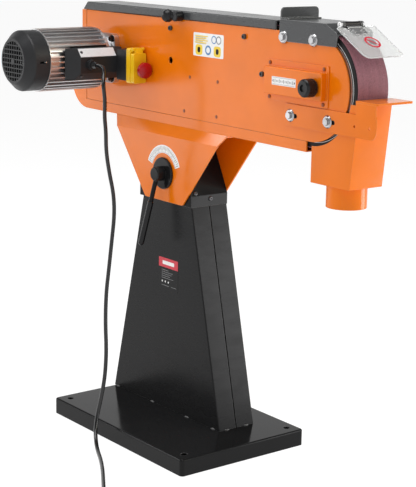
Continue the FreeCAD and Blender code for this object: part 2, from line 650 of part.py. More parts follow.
# ---------------------------------------------------------------- covers
def make_lid():
    """Long cover over the flat run: a shallow channel whose back end slants."""
    near, far = 5.0, 89.4
    rim = ARM_TOP + 0.8
    corners = [(-379, rim, 1), (LID_FRONT, rim, 1), (LID_FRONT, LID_TOP, 2), (-361, LID_TOP, 5)]
    outer = slab_xz(corners, near, far)
    edges = [e for e in outer.Edges if e.BoundBox.ZMin > LID_TOP - 0.1 and e.BoundBox.XLength > 500]
    outer = outer.makeFillet(2.4, edges)
    hollow = slab_xz(
        [(-390, ARM_TOP - 5, 0), (LID_FRONT + 5, ARM_TOP - 5, 0), (LID_FRONT + 5, LID_TOP - 2, 0),
         (-390, LID_TOP - 2, 0)],
        near + 2, far - 2,
    )
    back_wall = slab_xz([(-379, ARM_TOP + 0.8, 0), (-376.6, ARM_TOP + 0.8, 0), (-358.6, LID_TOP, 0),
                         (-361, LID_TOP, 0)], near, far)
    lid = join(outer.cut(hollow), back_wall.common(outer))
    for x in LID_KNUCKLES:
        x0 = x + 17.5
        leaf = box(x0, x0 + 34, far - 2, far, 886, 900)
        web = box(x0, x0 + 34, far - 1, LID_HINGE_Y, LID_HINGE_Z + 1.5, LID_HINGE_Z + 4)
        eye = rod((x0, LID_HINGE_Y, LID_HINGE_Z), (x0 + 34, LID_HINGE_Y, LID_HINGE_Z), 4.0)
        bore = rod((x0 - 1, LID_HINGE_Y, LID_HINGE_Z), (x0 + 36, LID_HINGE_Y, LID_HINGE_Z), 2.0 + RUN)
        lid = join(lid, leaf, web, eye).cut(bore)
    keep("top_lid", lid)
    x, z = LID_KNOB
    hub = turned([(near - 19, 9.0), (near - 17.5, 10.5), (near, 10.5)], x + 22, z)
    neck = rod((x + 22, near - 12, z), (x, near - 18, z), 6.0)
    ball = Part.makeSphere(13.5, Vector(x, near - 18, z))
    keep("lid_ball_knob", join(hub, neck, ball))


def make_guard():
    """Channel over the top of the contact wheel, with a sloping facet in front."""
    corners = [(305, 865, 3), (305, 906, 3), (*FACET_TOP, 6), (*FACET_END, 4), (464, 865, 3)]
    outer = slab_xz(corners, GUARD_NEAR, GUARD_FAR)
    hollow = slab_xz(
        [(290, 850, 0), (290, 903.5, 0), (433.4, 903.5, 0), (463, 887.8, 0), (480, 878.5, 0), (480, 850, 0)],
        NEAR_Y, FAR_Y,
    )
    guard = outer.cut(hollow)
    for x, z in GUARD_BOLTS:
        guard = guard.cut(rod((x, 0, z), (x, 110, z), 4.0))
    for y in (20.0, 64.0):
        post = slab_xz(
            [(452, 893, 0), (466, 886, 0), (466, 903, 3), (463, 911, 5), (455, 911, 5), (452, 903, 2)],
            y, y + 5,
        )
        guard = join(guard, post.cut(hollow))
    guard = guard.cut(rod((SHIELD_X, 10, SHIELD_Z), (SHIELD_X, 80, SHIELD_Z), 2.5))
    keep("front_guard", guard)
    stop = slab_yz([(9, 897, 2), (104, 897, 2), (104, 928, 9), (9, 928, 9)], 301.4, 304.4)
    foot = box(304.4, 326, 8, 92, 906.1, 908.6)
    web = box(303, 305, 8, 92, 906.1, 908.6)
    keep("work_stop", join(stop, web, foot).cut(box(304.9, 330, 0, 110, 890, 906.05)))


def make_shield():
    """Clear plate ahead of the guard, on a hinge bar that turns on the shield pin."""
    slope = math.radians(SHIELD_SLOPE)
    run = Vector(math.cos(slope), 0, -math.sin(slope))
    up = Vector(math.sin(slope), 0, math.cos(slope))
    top = Vector(462.0, 0, 899.0)
    length = 94.0
    y0, y1 = 4.5, 99.0

    def at(u, v):
        return top + run * u + Vector(0, v, 0)

    pane = face([(0, y0, 3), (length, y0, 14), (length, y1, 6), (0, y1, 3)], at).extrude(up * 3.0)
    pane = pane.cut(rod((SHIELD_X, 14, SHIELD_Z), (SHIELD_X, 75, SHIELD_Z), 7.0))
    pane = pane.cut(box(440, 467, 19, 70, 880, 920))
    pane = pane.cut(box(440, 472, 25.5, 63.5, 880, 920))
    keep("eye_shield", pane)
    knuckle = rod((SHIELD_X, 25.4, SHIELD_Z), (SHIELD_X, 63.6, SHIELD_Z), 5.5)
    leaf_face = face([(2, 27, 1), (26, 27, 4), (26, 62, 4), (2, 62, 1)], lambda u, v: at(u, v) + up * 3.0)
    leaf = leaf_face.extrude(up * 2.0)
    bridge = slab_xz([(457, 899.8, 0), (470, 898.6, 0), (470, 901.2, 0), (461, 905, 0)], 27, 62)
    bar = join(knuckle, leaf, bridge)
    bar = bar.cut(rod((SHIELD_X, 20, SHIELD_Z), (SHIELD_X, 70, SHIELD_Z), 2.5 + RUN))
    bar = bar.cut(pane)
    screws = []
    for y in (34, 55):
        spot = at(17, y) + up * 5.0
        screws.append(Part.makeCylinder(4.0, 2.4, spot, up))
    keep("shield_hinge", group([bar] + screws))


def flange_bolt(x, y, z, side, grip):
    """Hex bolt with a round flange, its head on side -1 or +1 of y."""
    way = Vector(0, side, 0)
    spot = Vector(x, y, z)
    flange = Part.makeCone(12.3, 10.0, 2.2, spot, way)
    head = hexagon(spot + way * 2.2, way, 12.0, 3.8)
    shank = Part.makeCylinder(4.0, grip, spot, way * -1)
    return join(flange, head, shank)


def make_hex_bolts():
    bolts = []
    for x, z in GUARD_BOLTS:
        bolts.append(flange_bolt(x, GUARD_NEAR, z, -1, 6.5))
        far_head = hexagon(Vector(x, GUARD_FAR, z), Vector(0, 1, 0), 13.0, 6.0)
        bolts.append(join(far_head, rod((x, GUARD_FAR - 5, z), (x, GUARD_FAR, z), 4.0)))
    for x, z in REST_BOLTS:
        bolts.append(flange_bolt(x, NEAR_Y - SHEET - GAP, z, -1, 7.0))
    for sx in (-1, 1):
        for sz in (-1, 1):
            spot = Vector(DRUM_X + sx * MOTOR_BOLT, -5, AXIS_Z + sz * MOTOR_BOLT)
            washer = Part.makeCylinder(8.0, 1.0, spot, Vector(0, -1, 0))
            bolts.append(join(washer, hexagon(spot + Vector(0, -1, 0), Vector(0, -1, 0), 10, 6)))
    keep("hex_bolts", group(bolts))


# ---------------------------------------------------------------- belt gear
def make_belt():
    """Closed belt round both wheels, in the shape it takes under tension."""
    def loop(extra, y0, y1):
        r1 = DRUM_R + BELT_GAP + extra
        r2 = WHEEL_R + BELT_GAP + extra
        slope = math.asin((r2 - r1) / (WHEEL_X - DRUM_X))
        s, c = math.sin(slope), math.cos(slope)
        a = Vector(DRUM_X - r1 * s, y0, AXIS_Z + r1 * c)
        b = Vector(WHEEL_X - r2 * s, y0, AXIS_Z + r2 * c)
        d = Vector(WHEEL_X - r2 * s, y0, AXIS_Z - r2 * c)
        e = Vector(DRUM_X - r1 * s, y0, AXIS_Z - r1 * c)
        front = Part.Arc(b, Vector(WHEEL_X + r2, y0, AXIS_Z), d).toShape()
        back = Part.Arc(e, Vector(DRUM_X - r1, y0, AXIS_Z), a).toShape()
        wire = Part.Wire([Part.makeLine(a, b), front, Part.makeLine(d, e), back])
        return Part.Face(wire).extrude(Vector(0, y1 - y0, 0))

    y0, y1 = MID_Y - BELT_WIDTH / 2, MID_Y + BELT_WIDTH / 2
    belt = loop(BELT_THICK, y0, y1).cut(loop(0, y0 - 1, y1 + 1))
    keep("sanding_belt", belt)


def make_contact_wheel():
    y0, y1 = MID_Y - 37.3, MID_Y + 37.3
    rim_r = 98.0
    edge_r = WHEEL_R - WHEEL_CROWN
    tyre = turned(
        [(y0, edge_r - 1.5), (y0 + 1.5, edge_r), (MID_Y - 12, WHEEL_R), (MID_Y + 12, WHEEL_R),
         (y1 - 1.5, edge_r), (y1, edge_r - 1.5)],
        WHEEL_X, AXIS_Z,
    )
    tyre = tyre.cut(rod((WHEEL_X, y0 - 1, AXIS_Z), (WHEEL_X, y1 + 1, AXIS_Z), rim_r))
    keep("contact_tyre", tyre)
    hub = ring((WHEEL_X, y0, AXIS_Z), (WHEEL_X, y1, AXIS_Z), rim_r, 86)
    web = ring((WHEEL_X, MID_Y - 6, AXIS_Z), (WHEEL_X, MID_Y + 6, AXIS_Z), 87, 20)
    boss = ring((WHEEL_X, MID_Y - 30, AXIS_Z), (WHEEL_X, MID_Y + 30, AXIS_Z), 27, 21)
    hub = join(hub, web, boss)
    for i in range(6):
        angle = math.pi / 3 * i
        x = WHEEL_X + 57 * math.cos(angle)
        z = AXIS_Z + 57 * math.sin(angle)
        hub = hub.cut(rod((x, 0, z), (x, 100, z), 15))
    hub = hub.cut(rod((WHEEL_X, 0, AXIS_Z), (WHEEL_X, 100, AXIS_Z), 21))
    keep("contact_wheel_hub", hub)
    bearings = []
    for y in (MID_Y - 29, MID_Y + 15):
        bearings.append(ring((WHEEL_X, y, AXIS_Z), (WHEEL_X, y + 14, AXIS_Z), 21, AXLE_R + RUN))
    keep("wheel_bearings", group(bearings))


def make_carriage():
    """Sliding block that holds the wheel axle, its two rails and the spring behind it."""
    y0, y1 = -2.6, 6.6
    x0, x1 = CARRIAGE_X
    block = box(x0, x1, y0, y1, CARRIAGE_Z[0], CARRIAGE_Z[1])
    axle = rod((WHEEL_X, y0, AXIS_Z), (WHEEL_X, MID_Y + 33, AXIS_Z), AXLE_R)
    collar = rod((WHEEL_X, y1, AXIS_Z), (WHEEL_X, MID_Y - 30, AXIS_Z), 12.0)
    cap = rod((WHEEL_X, MID_Y + 29.3, AXIS_Z), (WHEEL_X, MID_Y + 33, AXIS_Z), 14.0)
    keep("tension_carriage", block.cut(rod((WHEEL_X, -9, AXIS_Z), (WHEEL_X, 9, AXIS_Z), AXLE_R)))
    collar = collar.cut(rod((WHEEL_X, 0, AXIS_Z), (WHEEL_X, 30, AXIS_Z), AXLE_R - 1))
    keep("wheel_axle", join(axle, collar, cap))
    coils = []
    for i in range(SPRING_TURNS):
        x = 291.0 + i * (CARRIAGE_X[0] - 292.0) / (SPRING_TURNS - 1)
        coils.append(Part.makeTorus(3.4, 0.8, Vector(x, 2.0, AXIS_Z), Vector(1, 0, 0)))
    spring = group(coils)
    keep("tension_spring", spring)


def make_tracking():
    """Raised cover over the tension carriage, and the knob on its face."""
    x0, x1, z0, z1 = 271.0, 446.0, 751.0, 829.0
    foot = slab_xz(rect(x0, x1, z0, z1, 3), TRACK_FOOT, NEAR_Y)
    raised = slab_xz(rect(x0 + 5, x1 - 5, z0 + 13, z1 - 13, 3), TRACK_FACE, NEAR_Y)
    rim = [e for e in raised.Edges if e.BoundBox.YMax < TRACK_FACE + 0.1]
    raised = raised.makeFillet(1.4, rim)
    hollow = slab_xz(rect(x0 + 7, x1 - 7, z0 + 15, z1 - 15, 1), TRACK_FACE + 2, NEAR_Y + 1)
    cover = join(foot, raised).cut(hollow)
    cover = cover.cut(rod((KNOB_X, -20, AXIS_Z + 3), (KNOB_X, 0, AXIS_Z + 3), 4.0 + RUN))
    keep("tracking_cover", cover)
    z = AXIS_Z + 3
    front = TRACK_FACE - 28
    knob = turned(
        [
            (front, 13), (front + 2, 15.5), (front + 4, 17), (front + 22, 17.4), (front + 25, 15.5),
            (TRACK_FACE - 0.4, 12),
        ],
        KNOB_X, z,
    )
    for i in range(16):
        angle = math.radians(22.5 * i)
        flute_x, flute_z = KNOB_X + 18.1 * math.cos(angle), z + 18.1 * math.sin(angle)
        knob = knob.cut(rod((flute_x, front + 5, flute_z), (flute_x, front + 21, flute_z), 1.7))
    knob = knob.cut(rod((KNOB_X, front - 1, z), (KNOB_X, front + 3, z), 7))
    spindle = rod((KNOB_X, TRACK_FACE - 1, z), (KNOB_X, TRACK_FACE + 4.0, z), 4.0)
    keep("tracking_knob", join(knob, spindle))


def make_drum():
    """Cast drum keyed to the motor shaft."""
    y0, y1 = MID_Y - 37.3, MID_Y + 37.3
    shell = turned([(y0, DRUM_R - 1), (y0 + 1, DRUM_R), (y1 - 1, DRUM_R), (y1, DRUM_R - 1)], DRUM_X, AXIS_Z)
    shell = shell.cut(rod((DRUM_X, y0 - 1, AXIS_Z), (DRUM_X, y1 + 1, AXIS_Z), DRUM_R - 9))
    web = ring((DRUM_X, MID_Y - 5, AXIS_Z), (DRUM_X, MID_Y + 7, AXIS_Z), DRUM_R - 8, SHAFT_R)
    boss = ring((DRUM_X, MID_Y - 30, AXIS_Z), (DRUM_X, MID_Y + 24, AXIS_Z), 24, SHAFT_R)
    keep("drive_drum", join(shell, web, boss))


# ---------------------------------------------------------------- motor
def make_motor():
    x, z = DRUM_X, AXIS_Z
    core_r = 58.0
    body = rod((x, MOTOR_BACK, z), (x, MOTOR_FRONT, z), core_r)
    fins = []
    count = 36
    for i in range(count):
        angle = 360.0 / count * i
        fin = box(x + core_r - 2, x + MOTOR_R, MOTOR_BACK, MOTOR_FRONT, z - 1.5, z + 1.5)
        fin.rotate(Vector(x, 0, z), Vector(0, 1, 0), angle)
        fins.append(fin)
    frame = body.fuse(fins)
    frame = join(frame, rod((x, MOTOR_BACK, z), (x, MOTOR_BACK + 2, z), COVER_R + 1.6))
    frame = frame.cut(rod((x, MOTOR_BACK - 1, z), (x, MOTOR_FRONT + 1, z), 53))
    pocket = terminal_block(0.3)
    keep("motor_frame", frame.cut(pocket))
    stator = ring((x, -140, z), (x, -60, z), 52.9, 33)
    heads = [ring((x, -152, z), (x, -140, z), 50, 36), ring((x, -60, z), (x, -48, z), 50, 36)]
    keep("stator", join(stator, *heads))
    rotor = rod((x, -138, z), (x, -62, z), 32.5)
    shaft = rod((x, -206, z), (x, MID_Y + 30, z), SHAFT_R)
    step = rod((x, -44, z), (x, -32, z), 16)
    keep("rotor", join(rotor, shaft, step))
    shield = turned([(MOTOR_FRONT, 66), (-24, 66.5), (-13, 50.5), (-4, 48)], x, z)
    shield = shield.cut(turned([(MOTOR_FRONT - 1, 52), (-12, 46)], x, z))
    bearing_seat = rod((x, -28, z), (x, -4, z), 31)
    flange = slab_xz(rect(x - 54, x + 54, z - 54, z + 54, 14), -5, NEAR_Y)
    front = join(shield, bearing_seat, flange)
    front = front.cut(rod((x, -29, z), (x, -10, z), 26))
    front = front.cut(rod((x, -30, z), (x, 20, z), SHAFT_R + 3))
    back = turned(COVER_SEAT, x, z)
    boss = rod((x, MOTOR_BACK - 5, z), (x, MOTOR_BACK + 14, z), 31)
    back = join(back, boss).cut(rod((x, MOTOR_BACK, z), (x, MOTOR_BACK + 20, z), 26))
    back = back.cut(rod((x, -200, z), (x, -150, z), SHAFT_R + 3))
    keep("motor_end_shields", group([front, back]))
    bearings = []
    for y in (-28, MOTOR_BACK):
        bearings.append(ring((x, y, z), (x, y + 14, z), 26, SHAFT_R + RUN))
    keep("motor_bearings", group(bearings))
    make_fan()


def make_fan():
    x, z = DRUM_X, AXIS_Z
    hub = ring((x, -204, z), (x, -186, z), 18, SHAFT_R)
    disc = ring((x, -190, z), (x, -187, z), 52, 17)
    blades = []
    for i in range(8):
        blade = box(x + 17, x + 52, -205, -189, z - 1.2, z + 1.2)
        blade.rotate(Vector(x, 0, z), Vector(0, 1, 0), 45 * i)
        blades.append(blade)
    keep("cooling_fan", join(hub, disc, *blades))
    r = COVER_R
    bell = [
        (FAN_END, 47.5), (FAN_END + 1.5, 49.5), (FAN_END + 17, r - 1), (FAN_END + 20, r), (MOTOR_BACK, r),
    ]
    cover = turned(bell, x, z)
    hollow = turned([(FAN_END + 3, 47.5), (FAN_END + 18, r - 3), (MOTOR_BACK - 5, r - 3)], x, z)
    cover = cover.cut(hollow)
    cover = cover.cut(turned(COVER_SEAT, x, z))
    pitch = 9.6
    window = rod((x, FAN_END - 1, z), (x, FAN_END + 4, z), 42)
    bars = []
    for i in range(-4, 6):
        offset = (i - 0.5) * pitch
        bars.append(box(x - 46, x + 46, FAN_END, FAN_END + 3, z + offset - 1.2, z + offset + 1.2))
        bars.append(box(x + offset - 1.2, x + offset + 1.2, FAN_END, FAN_END + 3, z - 46, z + 46))
    grid = bars[0].fuse(bars[1:]).common(rod((x, FAN_END, z), (x, FAN_END + 3, z), 43.5))
    badge = rod((x, FAN_END - 0.4, z), (x, FAN_END + 3, z), 7)
    cover = cover.cut(window).fuse([grid, badge]).removeSplitter()
    slot = box(x + 55, x + 75, -202, -183, z - 1.2, z + 3.2)
    keep("fan_cover", cover.cut(slot))


# ---------------------------------------------------------------- terminal box, switch and gland
def terminal_block(grow):
    """Outside of the terminal box: its free corners are cut, and its near end slants back from the fins."""
    low, high = BOX_Z
    corners = [
        (-262, low + 2, 0), (-207, low - grow, 2), (BOX_X + grow, low + 14, 2), (BOX_X + grow, high - 19, 2),
        (-211, high + grow, 2), (-262, high + grow, 0),
    ]
    block = slab_xz(corners, BOX_NEAR - BOX_SLANT, BOX_FAR + grow)
    start = (BOX_X + 20, BOX_NEAR + 18 - 1.35 * grow)
    end = (BOX_X - 80, BOX_NEAR - 72 - 1.35 * grow)
    block = block.cut(slab_xy([(*end, 0), (BOX_X + 20, end[1], 0), (*start, 0)], low - 20, high + 20))
    return block.cut(box(-300, BOX_X - 26 - grow, BOX_NEAR - 60, BOX_NEAR - grow, low - 20, high + 20))


def make_terminal_box():
    block = terminal_block(0)
    block = block.cut(rod((DRUM_X, -200, AXIS_Z), (DRUM_X, 20, AXIS_Z), 58.4))
    block = block.cut(rod((DRUM_X, MOTOR_FRONT - 0.5, AXIS_Z), (DRUM_X, 20, AXIS_Z), MOTOR_R + 1))
    hollow = slab_xz(
        [(-228, 758, 0), (-210, 758, 0), (-200, 766, 0), (-200, 792, 0), (-214, 808, 0), (-228, 808, 0)],
        BOX_NEAR + 3, BOX_FAR - 3,
    )
    block = block.cut(hollow)
    block = block.cut(rod((BOX_X - 8, GLAND.y, GLAND.z), (BOX_X + 1, GLAND.y, GLAND.z), 8))
    keep("terminal_box", block)
    rise = Vector(BOX_X + 211, 0, BOX_Z[1] - 19 - BOX_Z[1])
    run = rise.Length
    rise.normalize()
    normal = Vector(-rise.z, 0, rise.x)
    start = Vector(-211, BOX_NEAR + 1, BOX_Z[1]) + normal * 0.1 + rise * 1.5
    plate = face([(0, 0, 1), (run - 3, 0, 1), (run - 3, 90, 1), (0, 90, 1)],
                 lambda u, v: start + rise * u + Vector(0, v, 0)).extrude(normal * 0.9)
    keep("rating_strip", plate)
    y, z = GLAND.y, GLAND.z
    nut = hexagon(Vector(BOX_X, y, z), Vector(1, 0, 0), 22, 5)
    dome = rod((BOX_X + 5, y, z), (BOX_X + 10, y, z), 10.5)
    thread = rod((BOX_X - 8, y, z), (BOX_X, y, z), 8)
    gland = join(nut, dome, thread)
    gland = gland.cut(rod((BOX_X - 9, y, z), (BOX_X + 11, y, z), 6.0))
    keep("cable_gland", gland)
    sleeve = rod((BOX_X - 6, y, z), (BOX_X + 11, y, z), 6.0)
    taper = Part.makeCone(8.2, 5.4, 12, Vector(BOX_X + 10, y, z), Vector(1, 0, 0))
    keep("strain_relief", join(sleeve, taper))


def make_switch():
    """Motor switch on the box: base, yellow housing, hinged flap with a stop mushroom, two buttons."""
    y0, y1 = SWITCH_Y
    low, high = SWITCH_Z
    base = slab_yz(rect(y0, y1, low + 1, high - 1, 3), BOX_X, -158)
    base = base.cut(box(-192, -161, y0 + 3, y1 - 3, low + 5, high - 5))
    for z in (high - 3, low + 2):
        base = base.cut(box(-190, -164, y0 - 1, y0 + 1, z, z + 1.2))
    for z in (STOP_BUTTON_Z, START_BUTTON_Z):
        base = base.cut(rod((-162, BUTTON_Y, z), (-157, BUTTON_Y, z), 8.0))
    keep("switch_base", base)
    housing = slab_yz(rect(y0 - 1, y1 + 0.5, low - 3, high + 4, 5), -158, -144)
    well = slab_yz(rect(y0 + 3, y1 - 3.5, low + 6, high - 7, 3), -152, -143)
    housing = housing.cut(well)
    for z in (STOP_BUTTON_Z, START_BUTTON_Z):
        housing = housing.cut(rod((-160, BUTTON_Y, z), (-150, BUTTON_Y, z), 7.5))
    ears = []
    for y in (y0 + 1, y1 - 7):
        outline = [(-146, high - 4, 0), (-135, high - 1, 3), (-135, high + 6, 3), (-146, high + 4, 0)]
        ear = slab_xz(outline, y, y + 5)
        ears.append(ear)
    housing = join(housing, *ears)
    housing = housing.cut(rod((FLAP_X, y0 - 2, FLAP_Z), (FLAP_X, y1 + 2, FLAP_Z), 1.6 + RUN))
    keep("switch_housing", housing)
    skin = slab_yz(rect(y0, y1 - 0.5, low - 2, high - 6, 4), -143.4, -131)
    hollow = slab_yz(rect(y0 + 2, y1 - 2.5, low + 1, high - 9, 3), -145, -133)
    skin = skin.cut(hollow)
    eye_top = FLAP_Z + 3
    outline = [
        (-141, high - 10, 0), (-132, high - 10, 0), (FLAP_X + 3.4, eye_top, 2), (FLAP_X - 3.4, eye_top, 2),
    ]
    hinge = slab_xz(outline, y0 + 6.5, y1 - 7.5)
    pin = rod((FLAP_X, y0 + 1.2, FLAP_Z), (FLAP_X, y1 - 2.2, FLAP_Z), 1.6)
    flap = join(skin, hinge, pin)
    flap = flap.cut(rod((-146, MUSHROOM_Y, MUSHROOM_Z), (-120, MUSHROOM_Y, MUSHROOM_Z), 7.0 + RUN))
    keep("switch_flap", flap)
    stem = rod((-137, MUSHROOM_Y, MUSHROOM_Z), (-116, MUSHROOM_Y, MUSHROOM_Z), 7.0)
    cap = rod((-117, MUSHROOM_Y, MUSHROOM_Z), (-109, MUSHROOM_Y, MUSHROOM_Z), 17)
    crown = Part.makeSphere(27, Vector(-130, MUSHROOM_Y, MUSHROOM_Z))
    crown = crown.common(rod((-109.5, MUSHROOM_Y, MUSHROOM_Z), (-101, MUSHROOM_Y, MUSHROOM_Z), 17))
    keep("stop_mushroom", join(stem, cap, crown))
    for name, z in (("stop_button", STOP_BUTTON_Z), ("start_button", START_BUTTON_Z)):
        button = rod((-157, BUTTON_Y, z), (-147, BUTTON_Y, z), 7.5 - 0.06)
        keep(name, button)


# ---------------------------------------------------------------- hopper and work rest
def make_hopper():
    """Sheet hopper under the contact wheel, with a round port in its floor."""
    x0, x1 = HOPPER_X
    y0, y1 = NEAR_Y, FAR_Y
    top_x = 527.0
    outline = [(x0, HOPPER_LOW, 1), (x1 - 5, HOPPER_LOW, 1), (top_x, 765, 1), (x0, 765, 1)]
    t = 2.0
    outer = slab_xz(outline, y0, y1)
    inner = slab_xz([(x0 + t, HOPPER_LOW + t, 0), (x1 - 5 - t, HOPPER_LOW + t, 0), (top_x - t + 1, 780, 0),
                     (x0 + t, 780, 0)], y0 + t, y1 - t)
    hopper = outer.cut(inner)
    clearance = 8.0
    sweep = rod((WHEEL_X, y0 - 5, AXIS_Z), (WHEEL_X, y1 + 5, AXIS_Z), WHEEL_R + clearance)
    side_cut = box(x0 - 5, x0 + 6, y0 - 5, y1 + 5, 678, 900)
    nose = rod((399.7, y0 - 5, AXIS_Z - 1), (399.7, y1 + 5, AXIS_Z - 1), NOSE_R + clearance)
    hopper = hopper.cut(sweep.common(box(300, 600, y0 + t, y1 - t, 600, 900)))
    hopper = hopper.cut(nose).cut(side_cut)
    px, py = 460.0, MID_Y
    hopper = hopper.cut(rod((px, py, 600), (px, py, 612), PORT_R - 2.0))
    port = ring((px, py, PORT_LOW), (px, py, HOPPER_LOW + t), PORT_R, PORT_R - 2.0)
    hopper = join(hopper, port)
    keep("dust_hopper", hopper)


def make_rest():
    """Slotted bracket bolted over the plate, and the work rest it carries across the belt."""
    y0, y1 = BRACKET_Y
    bracket = slab_xz([(328, 707, 3), (576, 707, 14), (576, 749, 4), (328, 749, 3)], y0, y1)
    under = TABLE_TOP - 4
    tab = slab_xz([(523.5, 745, 0), (574, 745, 0), (574, under, 0), (521.5, under, 0)], y0, y1)
    bracket = join(bracket, tab)
    for x, z in REST_BOLTS:
        bracket = bracket.cut(slot_xz(x - 12.3, x + 20, z, 4.3, y0 - 1, y1 + 1))
    for x in (520.0, 559.0):
        bracket = bracket.cut(rod((x, y0 - 1, 727), (x, y1 + 1, 727), 2.6))
    keep("rest_bracket", bracket)
    table = slab_xy([(521.5, y0, 0), (578, y0, 3), (578, 93.5, 3), (521.5, 93.5, 0)], under, TABLE_TOP)
    keep("work_table", table)


def main():
    make_base()
    make_column()
    make_head()
    make_tilt_bolt()
    make_clamp_lever()
    make_cord()
    make_yoke()
    make_main_plate()
    make_shell()
    make_far_rail()
    make_side_door()
    make_hinge_pins()
    make_platen()
    make_lid()
    make_guard()
    make_shield()
    make_hex_bolts()
    make_belt()
    make_contact_wheel()
    make_carriage()
    make_tracking()
    make_drum()
    make_motor()
    make_terminal_box()
    make_switch()
    make_hopper()
    make_rest()
    print(len(NODES), "nodes")


main()
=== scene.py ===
"""Looks of a pedestal belt grinder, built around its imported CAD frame. Metres, +Z up."""

import json
import math
import random

import bmesh
import bpy
from mathutils import Matrix, Vector


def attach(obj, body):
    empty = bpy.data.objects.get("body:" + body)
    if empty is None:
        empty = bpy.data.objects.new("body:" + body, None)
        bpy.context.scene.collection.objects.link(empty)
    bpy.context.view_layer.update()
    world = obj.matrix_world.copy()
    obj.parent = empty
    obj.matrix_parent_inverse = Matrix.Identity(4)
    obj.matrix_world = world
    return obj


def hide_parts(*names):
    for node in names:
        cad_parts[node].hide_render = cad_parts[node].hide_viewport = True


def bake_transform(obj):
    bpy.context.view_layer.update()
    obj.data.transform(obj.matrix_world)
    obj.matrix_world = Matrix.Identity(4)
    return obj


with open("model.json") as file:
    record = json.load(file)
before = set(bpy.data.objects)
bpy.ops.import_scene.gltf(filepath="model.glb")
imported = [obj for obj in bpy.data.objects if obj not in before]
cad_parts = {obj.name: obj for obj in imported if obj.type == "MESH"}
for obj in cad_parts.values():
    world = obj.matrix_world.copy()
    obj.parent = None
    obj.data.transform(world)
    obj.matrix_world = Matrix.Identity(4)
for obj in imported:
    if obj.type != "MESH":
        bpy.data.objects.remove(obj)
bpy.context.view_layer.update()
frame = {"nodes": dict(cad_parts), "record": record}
NODES = frame["nodes"]
random.seed(7)    # only the tack welds draw from it


# ---------------------------------------------------------------- camera, floor, light
CAMERA_AT = (2.4108, -1.7998, 1.0861)
CAMERA_TURN = (52.05, 12.58, 1.09)    # degrees round Z, down, and rolled
LENS_MM = 107.1
SENSOR_MM = 36
FLOOR_HALF = 60.0
MACHINE = (0.0, 0.0, 0.74)            # where the key light looks


def aim(obj, place, target):
    """Puts a light at place, looking at target."""
    obj.location = place
    obj.rotation_euler = (Vector(target) - Vector(place)).to_track_quat("-Z", "Y").to_euler()


def make_camera():
    """Camera at the photograph's viewing angle, with no shift and no depth of field."""
    azimuth, pitch, roll = (math.radians(angle) for angle in CAMERA_TURN)
    flat = math.cos(pitch)
    ahead = Vector((-math.sin(azimuth) * flat, math.cos(azimuth) * flat, -math.sin(pitch)))
    level = Vector((math.cos(azimuth), math.sin(azimuth), 0))
    above = level.cross(ahead)
    right = level * math.cos(roll) + above * math.sin(roll)
    up = above * math.cos(roll) - level * math.sin(roll)
    turn = Matrix((right, up, -ahead)).transposed().to_4x4()
    data = bpy.data.cameras.new("camera")
    data.lens = LENS_MM
    data.sensor_width = SENSOR_MM
    data.clip_end = 100
    camera = bpy.data.objects.new("camera", data)
    camera.matrix_world = Matrix.Translation(CAMERA_AT) @ turn
    bpy.context.collection.objects.link(camera)
    bpy.context.scene.camera = camera


def area_light(name, place, target, size, power, colour=(1, 1, 1)):
    """Rectangular soft light of a size in metres and a power in watts, unseen by the camera."""
    data = bpy.data.lights.new(name, "AREA")
    data.shape = "RECTANGLE"
    data.size, data.size_y = size
    data.energy = power
    data.color = colour
    light = bpy.data.objects.new(name, data)
    light.visible_camera = False
    bpy.context.collection.objects.link(light)
    aim(light, place, target)


def sky_dome(tree):
    """White studio surround, bright up to the horizon band and dim overhead."""
    way = tree.nodes.new("ShaderNodeTexCoord")
    split = tree.nodes.new("ShaderNodeSeparateXYZ")
    ramp = tree.nodes.new("ShaderNodeMapRange")
    for key, number in (
        ("From Min", 0.30), ("From Max", 0.60), ("To Min", 0.985), ("To Max", 0.22),
    ):
        ramp.inputs[key].default_value = number
    tree.links.new(way.outputs["Generated"], split.inputs[0])
    tree.links.new(split.outputs["Z"], ramp.inputs["Value"])
    tree.links.new(ramp.outputs["Result"], tree.nodes["Background"].inputs["Strength"])
    tree.nodes["Background"].inputs["Color"].default_value = (1, 1, 1, 1)


def make_floor():
    """Plain white floor that glows a little, so that the machine's shadow stays pale."""
    mesh = bpy.data.meshes.new("floor")
    corners = [(x * FLOOR_HALF, y * FLOOR_HALF, 0) for x, y in ((-1, -1), (1, -1), (1, 1), (-1, 1))]
    mesh.from_pydata(corners, [], [(0, 1, 2, 3)])
    floor = bpy.data.objects.new("floor", mesh)
    bpy.context.collection.objects.link(floor)
    paint = bpy.data.materials.new("floor_white")
    paint.use_nodes = True
    shader = paint.node_tree.nodes["Principled BSDF"]
    shader.inputs["Base Color"].default_value = (0.30, 0.30, 0.30, 1)
    shader.inputs["Roughness"].default_value = 0.9
    shader.inputs["Specular IOR Level"].default_value = 0.0
    shader.inputs["Emission Color"].default_value = (1, 1, 1, 1)
    shader.inputs["Emission Strength"].default_value = 0.84
    mesh.materials.append(paint)


def make_light():
    """Pale surround and five soft area lights."""
    world = bpy.data.worlds.new("studio")
    world.use_nodes = True
    sky_dome(world.node_tree)
    bpy.context.scene.world = world
    bpy.context.scene.view_settings.view_transform = "Standard"
    area_light("key", (-2.3, -1.9, 1.7), MACHINE, (0.8, 0.7), 14)
    area_light("glare", (-2.1, -1.55, 0.42), (0.0, 0.0, 0.70), (1.1, 0.6), 3.0)
    warm = (1.0, 0.985, 0.82)
    area_light("end_fill", (2.3, 1.3, 2.1), (0.3, 0.05, 0.7), (1.0, 1.0), 17, warm)
    area_light("low_fill", (0.89, 0.83, 0.40), (0.1, 0.05, 0.38), (0.44, 0.6), 4.6)
    area_light("top", (0.1, -0.4, 3.0), (0.1, 0.0, 0.6), (2.0, 2.0), 54)


make_camera()
make_floor()
make_light()


